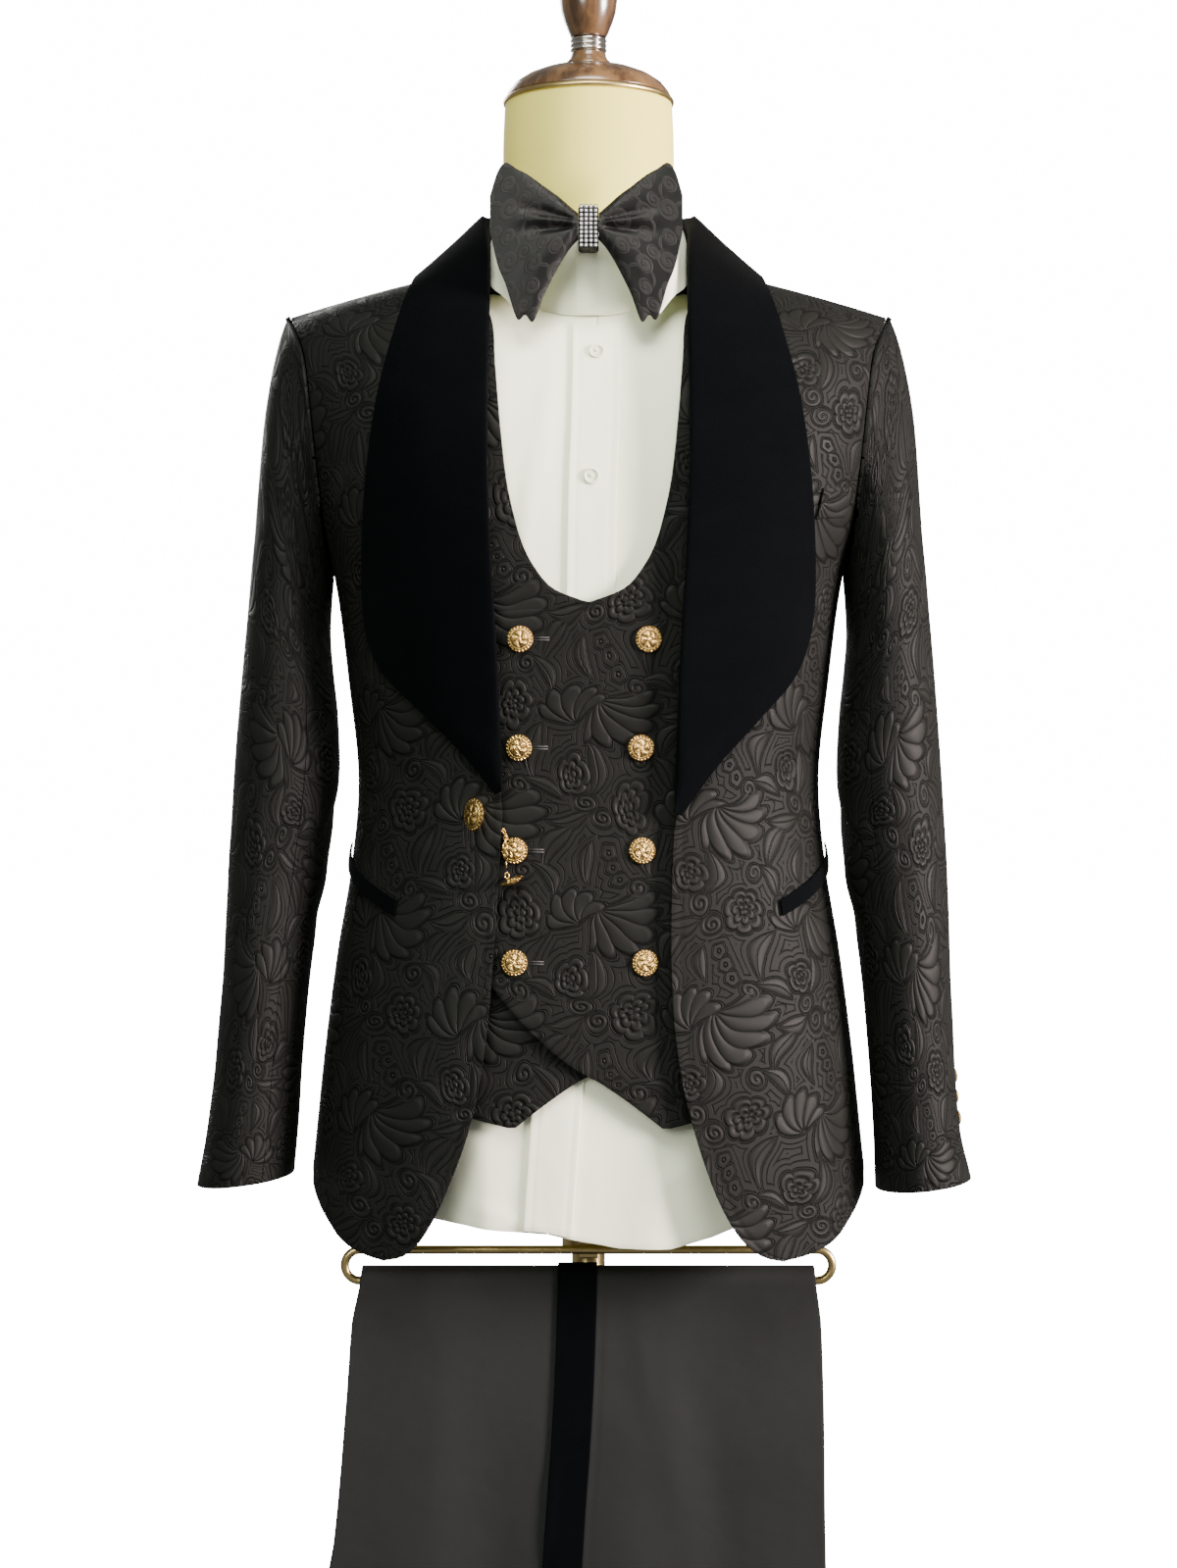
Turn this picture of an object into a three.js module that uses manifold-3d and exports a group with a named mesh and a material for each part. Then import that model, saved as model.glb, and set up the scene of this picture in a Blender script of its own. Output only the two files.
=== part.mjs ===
// A three-piece tuxedo with its shirt and bow tie, worn by a limbless dress form on a pole stand, with the
// trousers hung over the stand's bar. Millimetres, +Z up, the front faces -Y, the wearer's left is +X, and
// the origin is the middle of the base's underside.
import * as THREE from "three";
import { mergeVertices } from "three/addons/utils/BufferGeometryUtils.js";
import Module from "manifold-3d";

const wasm = await Module();
wasm.setup();

// Driving sizes of the cloth and the seams
const CLOTH = { jacket: 2, waistcoat: 1.8, shirt: 1.1, velvet: 2.2, trousers: 1.6 };
const SEAM = 0.4;
const SHOULDER_SEAM = 0.9;
const TRIM_GAP = 0.35;
const WELT_GAP = 1.1;

// Where each garment lies between the form (0) and the jacket's outer face (1)
const FORM = -0.18;
const SHIRT = 0.14;
const WAISTCOAT = 0.62;
const JACKET = 1;

const COLOUR = { brocade: 0x24231f, velvet: 0x07080b, shirt: 0xe9eae0, satin: 0x2b2d2c, gold: 0xc79a3f,
  linen: 0xe3dba8, walnut: 0x4a3f2c, brass: 0xb39a4a, steel: 0xb9b9b4, wool: 0x2c2c2b };
const FINISH = { brocade: [0.7, 0], velvet: [0.95, 0], shirt: [0.8, 0], satin: [0.45, 0], gold: [0.3, 1],
  linen: [0.8, 0], walnut: [0.4, 0], brass: [0.3, 1], steel: [0.3, 1], wool: [0.8, 0] };

const tuxedo = new THREE.Group();

function add(name, geometry, material) {
  const [roughness, metalness] = FINISH[material];
  const mesh = new THREE.Mesh(geometry,
    new THREE.MeshStandardMaterial({ color: COLOUR[material], roughness, metalness }));
  mesh.name = name;
  tuxedo.add(mesh);
  return mesh;
}

// Arithmetic for tables and curves
const lerp = (a, b, t) => a + (b - a) * t;
const rad = (degrees) => (degrees * Math.PI) / 180;
const bump = (value, centre, reach) => Math.exp(-(((value - centre) / reach) ** 2));
const smooth = (t) => t * t * (3 - 2 * t);
const clamp = (t, low = 0, high = 1) => Math.min(high, Math.max(low, t));

// Reads a column of a table at a row number that may lie between two rows, along a smooth curve.
function read(rows, column, at) {
  const i = clamp(Math.floor(at), 0, rows.length - 2);
  const [a, b, c, d] = [i - 1, i, i + 1, i + 2].map((k) => rows[clamp(k, 0, rows.length - 1)][column]);
  const t = at - i;
  const before = i === 0 ? c - b : (c - a) / 2;
  const after = i === rows.length - 2 ? c - b : (d - b) / 2;
  const square = (3 * (c - b) - 2 * before - after) * t * t;
  return b + before * t + square + (2 * (b - c) + before + after) * t * t * t;
}

// Reads a column at a value of another column that only rises.
function readAt(rows, key, column, value) {
  let i = 0;
  while (i < rows.length - 2 && rows[i + 1][key] < value) i += 1;
  const t = clamp((value - rows[i][key]) / (rows[i + 1][key] - rows[i][key]));
  return read(rows, column, i + t);
}

// Evenly spaced parameters from 0 to 1 that also hit each stop.
function steps(count, ...stops) {
  const marks = [0, ...stops, 1];
  const list = [];
  marks.slice(1).forEach((end, k) => {
    const n = Math.max(1, Math.round(count * (end - marks[k])));
    for (let i = 0; i < n; i += 1) list.push(lerp(marks[k], end, i / n));
  });
  return [...list, 1];
}

// A closed wall between the points at(u, v, 0) of its outer face and at(u, v, 1) of its inner face.
function wall(us, vs, at) {
  const positions = [];
  const index = [];
  const width = us.length;
  const count = width * vs.length;
  for (const face of [0, 1]) {
    for (const v of vs) {
      for (const u of us) positions.push(...at(u, v, face).toArray());
    }
  }
  const id = (i, j, face) => face * count + j * width + i;
  const quad = (a, b, c, d) => index.push(a, b, c, a, c, d);
  for (let j = 0; j < vs.length - 1; j += 1) {
    for (let i = 0; i < width - 1; i += 1) {
      quad(id(i, j, 0), id(i + 1, j, 0), id(i + 1, j + 1, 0), id(i, j + 1, 0));
      quad(id(i, j, 1), id(i, j + 1, 1), id(i + 1, j + 1, 1), id(i + 1, j, 1));
    }
    quad(id(0, j, 0), id(0, j + 1, 0), id(0, j + 1, 1), id(0, j, 1));
    quad(id(width - 1, j, 0), id(width - 1, j, 1), id(width - 1, j + 1, 1), id(width - 1, j + 1, 0));
  }
  const top = vs.length - 1;
  for (let i = 0; i < width - 1; i += 1) {
    quad(id(i, 0, 0), id(i, 0, 1), id(i + 1, 0, 1), id(i + 1, 0, 0));
    quad(id(i, top, 0), id(i + 1, top, 0), id(i + 1, top, 1), id(i, top, 1));
  }
  return facingOut(positions, index);
}

// A solid through closed rings of equal length, with a flat cap on the first and the last.
function solidThrough(rings) {
  const n = rings[0].length;
  const positions = rings.flat().flatMap((p) => p.toArray());
  const index = [];
  for (let j = 0; j < rings.length - 1; j += 1) {
    for (let i = 0; i < n; i += 1) {
      const [a, b, c, d] = [j * n + i, j * n + ((i + 1) % n), (j + 1) * n + ((i + 1) % n), (j + 1) * n + i];
      index.push(a, b, c, a, c, d);
    }
  }
  for (const [j, turn] of [[0, 1], [rings.length - 1, 0]]) {
    const centre = rings[j].reduce((sum, p) => sum.add(p), new THREE.Vector3()).divideScalar(n);
    const middle = positions.length / 3;
    positions.push(...centre.toArray());
    for (let i = 0; i < n; i += 1) {
      const [a, b] = [j * n + i, j * n + ((i + 1) % n)];
      index.push(...(turn ? [b, a, middle] : [a, b, middle]));
    }
  }
  return facingOut(positions, index);
}

// Turns every face round where the surface encloses a negative volume.
function facingOut(positions, index) {
  let volume = 0;
  const p = (i) => new THREE.Vector3(...positions.slice(3 * i, 3 * i + 3));
  for (let i = 0; i < index.length; i += 3) {
    volume += p(index[i]).dot(p(index[i + 1]).cross(p(index[i + 2])));
  }
  if (volume < 0) {
    for (let i = 0; i < index.length; i += 3) [index[i], index[i + 1]] = [index[i + 1], index[i]];
  }
  return new THREE.BufferGeometry()
    .setAttribute("position", new THREE.Float32BufferAttribute(positions, 3)).setIndex(index);
}

function joined(...geometries) {
  const solids = geometries.map((geometry) => {
    const bare = geometry.clone();
    for (const name of ["normal", "uv"]) bare.deleteAttribute(name);
    const merged = mergeVertices(bare, 1e-3);
    return new wasm.Manifold(new wasm.Mesh({ numProp: 3,
      vertProperties: merged.attributes.position.array, triVerts: new Uint32Array(merged.index.array) }));
  });
  const mesh = solids.reduce((whole, solid) => whole.add(solid)).getMesh();
  return new THREE.BufferGeometry()
    .setAttribute("position", new THREE.BufferAttribute(mesh.vertProperties, 3))
    .setIndex(new THREE.BufferAttribute(mesh.triVerts, 1));
}

// The body's sections. Each row is one level of the form and the jacket's level outside it: half width,
// depth in front and behind, how far the level falls towards the sides, and how square it is. Past the
// underarm the levels tilt and close on the shoulder seam.
const figure = [
  { height: 700, half: 158, front: 92, back: 98, middle: 0, fall: 0, square: 0.85 },
  { height: 760, half: 163, front: 98, back: 104, middle: 0, fall: 0, square: 0.85 },
  { height: 820, half: 168, front: 103, back: 108, middle: 0, fall: 0, square: 0.85 },
  { height: 880, half: 169, front: 104, back: 108, middle: 0, fall: 0, square: 0.85 },
  { height: 950, half: 163, front: 100, back: 100, middle: 0, fall: 0, square: 0.85 },
  { height: 1015, half: 153, front: 94, back: 89, middle: 0, fall: 0, square: 0.85 },
  { height: 1080, half: 149, front: 91, back: 83, middle: 0, fall: 0, square: 0.85 },
  { height: 1150, half: 157, front: 95, back: 89, middle: 0, fall: 0, square: 0.85 },
  { height: 1225, half: 167, front: 100, back: 96, middle: 0, fall: 0, square: 0.85 },
  { height: 1278, half: 180, front: 100, back: 98, middle: 0, fall: 3, square: 0.82 },
  { height: 1325, half: 189, front: 96, back: 96, middle: 1, fall: 8, square: 0.76 },
  { height: 1370, half: 195, front: 87, back: 91, middle: 3, fall: 16, square: 0.7 },
  { height: 1408, half: 198, front: 70, back: 81, middle: 5, fall: 31, square: 0.66 },
  { height: 1434, half: 200, front: 49, back: 62, middle: 7, fall: 45, square: 0.56 },
  { height: 1447, half: 201, front: 26, back: 40, middle: 8, fall: 51, square: 0.5 },
  { height: 1453, half: 201, front: 0, back: 0, middle: 8, fall: 48, square: 0.5 },
];
const jacketCut = [
  { height: 700, half: 215, front: 134, back: 132 },
  { height: 760, half: 212, front: 133, back: 131 },
  { height: 820, half: 206, front: 131, back: 130 },
  { height: 880, half: 199, front: 128, back: 127 },
  { height: 950, half: 189, front: 123, back: 119 },
  { height: 1015, half: 178, front: 117, back: 109 },
  { height: 1080, half: 173, front: 114, back: 104 },
  { height: 1150, half: 180, front: 118, back: 110 },
  { height: 1225, half: 190, front: 122, back: 117 },
  { height: 1280, half: 204, front: 122, back: 120 },
  { height: 1330, half: 213, front: 118, back: 118 },
  { height: 1378, half: 219, front: 109, back: 113 },
  { height: 1421, half: 222, front: 92, back: 103 },
  { height: 1451, half: 224, front: 70, back: 87 },
  { height: 1468, half: 225, front: 44, back: 66 },
  { height: 1476, half: 225, front: 0, back: 0 },
];
const UNDERARM = 8;
const ARMHOLE_SEAM = 9;
const SHOULDER = figure.length - 1;
const FALL_SHAPE = 1.5;

function section(share, row) {
  const of = (column) => lerp(read(figure, column, row), read(jacketCut, column, row), share);
  return { height: of("height"), half: of("half"), front: Math.max(0, of("front")),
    back: Math.max(0, of("back")), middle: read(figure, "middle", row), fall: read(figure, "fall", row),
    square: read(figure, "square", row) };
}

// A point of a garment's surface: 0 degrees is the middle of the front, 90 the wearer's left side, 180 the
// back.
function bodyPoint(share, angle, row) {
  const s = section(share, row);
  const [sine, cosine] = [Math.sin(rad(angle)), Math.cos(rad(angle))];
  const across = Math.abs(sine) ** s.square;
  const depth = (cosine > 0 ? -s.front : s.back) * Math.abs(cosine) ** s.square;
  return new THREE.Vector3(Math.sign(sine) * s.half * across, s.middle + depth,
    s.height - s.fall * across ** FALL_SHAPE);
}

function bodyNormal(share, angle, row) {
  const level = Math.min(row, SHOULDER - 0.02);
  const at = (turn) => {
    const round = bodyPoint(share, turn + 0.5, level).sub(bodyPoint(share, turn - 0.5, level));
    const up = bodyPoint(share, turn, level + 0.01).sub(bodyPoint(share, turn, level - 0.01));
    return round.cross(up).normalize();
  };
  // Front and back share one direction along the shoulder, so that their walls part there cleanly.
  const near = clamp(row - SHOULDER + 1);
  return near > 0 ? at(angle).lerp(at(180 - angle), near / 2).normalize() : at(angle);
}

// A point moved out from a garment's surface.
const moved = (share, angle, row, out) =>
  bodyPoint(share, angle, row).addScaledVector(bodyNormal(share, angle, row), out);

// The row at which the surface above a given x reaches a height, and the angle of that x.
function rowOf(share, x, height) {
  let [low, high] = [0, SHOULDER];
  for (let i = 0; i < 40; i += 1) {
    const row = (low + high) / 2;
    const s = section(share, row);
    if (s.height - s.fall * clamp(Math.abs(x) / s.half) ** FALL_SHAPE < height) low = row;
    else high = row;
  }
  return (low + high) / 2;
}
function angleOf(share, x, row) {
  const s = section(share, row);
  return Math.sign(x) * (Math.asin(clamp(Math.abs(x) / s.half) ** (1 / s.square)) * 180) / Math.PI;
}

// A place in a garment's own map: [angle, row].
const place = (share, x, height) => {
  const row = rowOf(share, x, height);
  return [angleOf(share, x, row), row];
};
const levelOf = (share, height) => rowOf(share, 0, height);

// A boundary that runs through places at an even pace. A degree and a row are about this many millimetres.
const DEGREE_LONG = 2.4;
const ROW_TALL = 62;
function through(places) {
  const pace = [0];
  for (let i = 1; i < places.length; i += 1) {
    const [a, b] = [places[i - 1], places[i]];
    pace.push(pace[i - 1] + Math.hypot((b[0] - a[0]) * DEGREE_LONG, (b[1] - a[1]) * ROW_TALL));
  }
  const total = pace[pace.length - 1];
  const rows = places.map(([angle, row], i) => ({ at: pace[i] / total, angle, row }));
  const line = (t) => {
    let i = 0;
    while (i < rows.length - 2 && rows[i + 1].at < t) i += 1;
    const k = clamp((t - rows[i].at) / (rows[i + 1].at - rows[i].at));
    return [lerp(rows[i].angle, rows[i + 1].angle, k), lerp(rows[i].row, rows[i + 1].row, k)];
  };
  line.stops = rows.map((r) => r.at);
  return line;
}

// Fills the map between four boundaries: hem and top run from inner to outer, inner and outer run upwards.
function filled({ inner, outer, hem, top }) {
  const corner = [hem(0), hem(1), top(0), top(1)];
  return (u, v) => [0, 1].map((k) => lerp(inner(v)[k], outer(v)[k], u) + lerp(hem(u)[k], top(u)[k], v)
    - lerp(lerp(corner[0][k], corner[1][k], u), lerp(corner[2][k], corner[3][k], u), v));
}

// One cut panel of a garment as a wall. shift moves the whole panel back or forth, to part it at the
// shoulder.
function panel({ share, edges, us, vs, thick, out = () => 0, shift = 0, mirror = false, centred = false }) {
  const map = filled(edges);
  return wall(us, vs, (u, v, face) => {
    const [angle, row] = map(u, v);
    const p = moved(share, angle, row, out(u, v, angle, row) - face * thick);
    p.y += shift * clamp((row - SHOULDER + 2) / 2);
    if (centred) p.x = Math.max(SEAM / 2, p.x);
    if (mirror) p.x = -p.x;
    return p;
  });
}

// Jacket. The armhole: a round scoop under the arm, then a line up to the shoulder point.
const armholeReach = [0, 0, 0, 0, 0, 0, 0, 0, 1, 0.963, 0.944, 0.938, 0.946, 0.964, 0.982, 1]
  .map((reach) => ({ reach }));
const SCOOP = 17;
function armholeAngle(row) {
  if (row < ARMHOLE_SEAM) return 90 - SCOOP * Math.sqrt(Math.max(0, row - UNDERARM));
  const s = section(JACKET, row);
  return (Math.asin(clamp(read(armholeReach, "reach", row)) ** (1 / s.square)) * 180) / Math.PI;
}
const SIDE_SEAM = 90 - SCOOP;

// The jacket's front edges from the lowest point of the round cutaway up to the end of the lapel.
const frontEdge = [
  { height: 733, right: 147, left: 139 },
  { height: 737, right: 133, left: 125 },
  { height: 748, right: 121, left: 111 },
  { height: 766, right: 110, left: 99 },
  { height: 790, right: 99, left: 88 },
  { height: 826, right: 86, left: 76 },
  { height: 862, right: 78, left: 67 },
  { height: 905, right: 72, left: 61 },
  { height: 955, right: 68, left: 59 },
  { height: 1010, right: 64.5, left: 60 },
  { height: 1056, right: 62, left: 62 },
];
// The roll line and the outer edge of each shawl lapel from its tip up to the collarbone.
const lapel = [
  { roll: 61.5, rollHeight: 1070, edge: 66, edgeHeight: 1067 },
  { roll: 62, rollHeight: 1090, edge: 92, edgeHeight: 1099 },
  { roll: 63, rollHeight: 1114, edge: 122, edgeHeight: 1129 },
  { roll: 64.5, rollHeight: 1148, edge: 149, edgeHeight: 1158 },
  { roll: 67, rollHeight: 1192, edge: 161.5, edgeHeight: 1192 },
  { roll: 70, rollHeight: 1244, edge: 163, edgeHeight: 1243 },
  { roll: 72, rollHeight: 1300, edge: 159, edgeHeight: 1303 },
  { roll: 72.5, rollHeight: 1357, edge: 151, edgeHeight: 1358 },
  { roll: 72, rollHeight: 1408, edge: 140, edgeHeight: 1405 },
];
const LEFT_TIP_LOWER = 15;
// The collar goes on round the neck: its roll, its outer edge on the jacket and the seam that its stand
// rises from.
const collar = [
  { roll: [73, -44, 1466], edge: [130, "front", 1438], seam: [78, -40, 1455] },
  { roll: [75.5, 4, 1497], edge: [125, "front", 1470], seam: [80, 8, 1470] },
  { roll: [72, 26, 1502], edge: [119, "back", 1447], seam: [74, 28.5, 1471] },
  { roll: [62.2, 44.4, 1505], edge: [98, "back", 1436], seam: [62.5, 47.5, 1472] },
  { roll: [34, 68, 1509], edge: [52, "back", 1427], seam: [34.6, 71, 1472] },
  { roll: [0.3, 74.6, 1510], edge: [0.3, "back", 1424], seam: [0.3, 77, 1472] },
];
const LAPEL_TUCK = 4.8;
const NECK_POINT = 84;
const NAPE_ROW = 13.5;
// The front edge's end follows this share of a lower lapel tip, and the cut line passes the collarbone here.
const TIP_SHARE = 0.8;
const COLLAR_BONE = [81, 1448];

const hem = [
  { angle: 30, height: 733 },
  { angle: 38, height: 734 },
  { angle: 48, height: 740 },
  { angle: 60, height: 756 },
  { angle: 75, height: 778 },
  { angle: 90, height: 786 },
  { angle: 120, height: 782 },
  { angle: 150, height: 777 },
  { angle: 180, height: 775 },
];
const hemPlace = (angle) => [angle, levelOf(JACKET, readAt(hem, "angle", "height", angle))];
const between = (from, to, count, make) =>
  Array.from({ length: count + 1 }, (_, i) => make(lerp(from, to, i / count)));
const armholeLine = (side) => between(ARMHOLE_SEAM, SHOULDER, 6, (row) => [side(armholeAngle(row)), row]);
const seamTurn = SEAM / 3;

// Soft folds of the skirt, which hangs free below the waist.
const skirtWaves = [
  { angle: 52, reach: 7, depth: 3.5 },
  { angle: 84, reach: 8, depth: -3 },
  { angle: 116, reach: 9, depth: 4 },
  { angle: 150, reach: 9, depth: -3 },
];
const hang = (angle, row) => skirtWaves.reduce((sum, w) => sum + w.depth * bump(angle, w.angle, w.reach), 0)
  * smooth(clamp((5 - row) / 4));

for (const [side, mirror] of [["right", true], ["left", false]]) {
  const lowTip = side === "left" ? LEFT_TIP_LOWER : 0;
  const tip = place(JACKET, frontEdge[0][side], frontEdge[0].height);
  const topEdge = frontEdge.length - 1;
  const inner = [
    ...frontEdge.map((e, i) => place(JACKET, e[side], e.height - (i === topEdge ? lowTip * TIP_SHARE : 0))),
    ...lapel.slice(1).map((l, i) => place(JACKET, l.roll + LAPEL_TUCK, l.rollHeight - (i < 2 ? lowTip : 0))),
    place(JACKET, ...COLLAR_BONE),
    [angleOf(JACKET, NECK_POINT, SHOULDER), SHOULDER],
  ];
  const outer = [hemPlace(SIDE_SEAM - seamTurn), [SIDE_SEAM - seamTurn, UNDERARM],
    ...armholeLine((a) => a - seamTurn / 2)];
  const edges = { inner: through(inner), outer: through(outer),
    hem: through(between(tip[0], SIDE_SEAM - seamTurn, 8, hemPlace)),
    top: through([inner[inner.length - 1], outer[outer.length - 1]]) };
  add(`jacket_front_${side}`, panel({ share: JACKET, edges, us: steps(7), vs: steps(20), thick: CLOTH.jacket,
    shift: -SHOULDER_SEAM / 2, mirror, out: (u, v, angle, row) => hang(angle, row) }), "brocade");

  const scoop = (angle) => [angle, UNDERARM + ((angle - 90) / SCOOP) ** 2 - 0.006];
  const sideFrom = SIDE_SEAM + seamTurn;
  const sideTo = 180 - sideFrom;
  const sideEdges = {
    inner: through([hemPlace(sideFrom), scoop(sideFrom)]),
    outer: through([hemPlace(sideTo), scoop(sideTo)]),
    hem: through(between(sideFrom, sideTo, 4, hemPlace)),
    top: through(between(sideFrom, sideTo, 6, scoop)),
  };
  add(`jacket_side_${side}`, panel({ share: JACKET, edges: sideEdges, us: steps(4), vs: steps(8),
    thick: CLOTH.jacket, mirror, out: (u, v, angle, row) => hang(angle, row) }), "brocade");

  const backFrom = 180 - SIDE_SEAM + seamTurn;
  const backTo = 180 - seamTurn;
  const backOuter = [hemPlace(backFrom), [backFrom, UNDERARM],
    ...armholeLine((a) => 180 - a + seamTurn / 2)];
  const neckline = between(0, 90, 4, (t) => {
    const row = lerp(SHOULDER, NAPE_ROW, t / 90);
    return [180 - angleOf(JACKET, Math.max(0.3, NECK_POINT * Math.cos(rad(t))), row), row];
  });
  neckline[neckline.length - 1][0] = backTo;
  const backTop = through([backOuter[backOuter.length - 1], ...neckline]);
  const backEdges = { inner: through(backOuter), outer: through([hemPlace(backTo), [backTo, NAPE_ROW]]),
    hem: through(between(backFrom, backTo, 6, hemPlace)), top: backTop };
  add(`jacket_back_${side}`,
    panel({ share: JACKET, edges: backEdges, us: steps(6, backTop.stops[1]), vs: steps(12),
    thick: CLOTH.jacket, shift: SHOULDER_SEAM / 2, mirror, centred: true,
    out: (u, v, angle, row) => hang(angle, row) }), "brocade");
}

// Shawl collar: one strip a side, from the lapel's tip over the shoulder to the seam behind the neck. It
// rises inside as the stand, turns over the roll and lies on the jacket as the fall.
function shawl(side) {
  const low = side === "left" ? LEFT_TIP_LOWER : 0;
  const onJacket = (x, z, half) => {
    const [angle, row] = place(JACKET, x, z);
    return bodyPoint(JACKET, half === "back" ? 180 - angle : angle, row);
  };
  const chest = lapel.map((l, i) => {
    const drop = low * clamp(1 - i / 4);
    const on = (f) => onJacket(lerp(l.roll, l.edge, f), lerp(l.rollHeight, l.edgeHeight, f) - drop, "front");
    return { on, seam: null };
  });
  const neck = collar.map((c) => {
    const [roll, edge] = [new THREE.Vector3(...c.roll), onJacket(c.edge[0], c.edge[2], c.edge[1])];
    return { on: (f) => roll.clone().lerp(edge, f), seam: new THREE.Vector3(...c.seam) };
  });
  const stations = [...chest, ...neck];
  const profiles = stations.map((s, i) => {
    const [a, b] = [stations[Math.max(0, i - 1)], stations[Math.min(stations.length - 1, i + 1)]];
    const width = s.on(0).distanceTo(s.on(1));
    const size = clamp(width / 30, 0.25);
    const rest = CLOTH.velvet + (s.seam ? 2.4 : 1);
    const at = (f, inward, lift) => {
      const across = s.on(clamp(f - 0.05)).sub(s.on(clamp(f + 0.05))).normalize();
      const out = b.on(f).sub(a.on(f)).cross(across).normalize();
      return s.on(f).addScaledVector(across, inward).addScaledVector(out, lift);
    };
    // From the inner edge or neck seam, up and over the roll, and down across the fall to its outer edge
    return [
      s.seam ? s.seam.clone() : at(0, -0.4, 0.2),
      s.seam ? at(0, -0.5, -3) : at(0, 0.3, 1.8),
      at(0, 0.6 * size, rest + 1.6),
      at(0, -5 * size, rest + 3.6 * size),
      at(0.5, 0, rest + 2.6 * size),
      at(0.8, 0, rest + 1.2 * size),
      at(1, 0, rest),
    ].map((p) => ({ x: p.x, y: p.y, z: p.z }));
  });
  const surface = (u, v) => {
    const at = v * (profiles.length - 1);
    const column = profiles[0].map((_, k) => {
      const rows = profiles.map((p) => p[k]);
      return { x: read(rows, "x", at), y: read(rows, "y", at), z: read(rows, "z", at) };
    });
    return new THREE.Vector3(...["x", "y", "z"].map((axis) => read(column, axis, u * (column.length - 1))));
  };
  return surface;
}

// The normal of any surface(u, v), found from nearby points.
function normalOf(surface, u, v, step = 0.004) {
  const [u0, u1, v0, v1] = [clamp(u - step), clamp(u + step), clamp(v - step), clamp(v + step)];
  const round = surface(u1, v).sub(surface(u0, v));
  const up = surface(u, v1).sub(surface(u, v0));
  return round.cross(up).normalize();
}
for (const [side, mirror] of [["right", -1], ["left", 1]]) {
  const surface = shawl(side);
  const us = [0, 1 / 6, 2 / 6, 2.8 / 6, 3.9 / 6, 5 / 6, 1];
  add(`shawl_collar_${side}`, wall(us, steps(26), (u, v, face) => {
    const p = surface(u, v).addScaledVector(normalOf(surface, u, v), -face * CLOTH.velvet);
    p.x = mirror * Math.max(SEAM / 2, p.x);
    return p;
  }), "velvet");
}

// Trim that lies on the jacket: the velvet welts of the hip pockets and the breast pocket's welt.
function patch({ share, corners, out, thick, us, vs, mirror }) {
  return wall(us, vs, (u, v, face) => {
    const [a, b, c, d] = corners;
    const angle = lerp(lerp(a[0], b[0], u), lerp(d[0], c[0], u), v);
    const height = lerp(lerp(a[1], b[1], u), lerp(d[1], c[1], u), v);
    const row = levelOf(share, height);
    const p = moved(share, angle, row, out + hang(angle, row) + (1 - face) * thick);
    if (mirror) p.x = -p.x;
    return p;
  });
}
const hipPocket = { front: 46, back: 90, frontHeight: 979, backHeight: 1019, deep: 12, thick: 1.4 };
const breastPocket = { corners: [[51.6, 1269], [65, 1273], [65, 1297], [51.6, 1293]], out: 0.7, thick: 1.3 };
for (const [side, mirror] of [["right", true], ["left", false]]) {
  const p = hipPocket;
  const corners = [[p.front, p.frontHeight], [p.back, p.backHeight], [p.back, p.backHeight + p.deep],
    [p.front, p.frontHeight + p.deep]];
  add(`hip_pocket_${side}`,
    patch({ share: JACKET, mirror, out: WELT_GAP, thick: p.thick, us: steps(8), vs: steps(1),
    corners }), "velvet");
}
add("breast_pocket", patch({ share: JACKET, us: steps(3), vs: steps(1), ...breastPocket }), "brocade");

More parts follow.
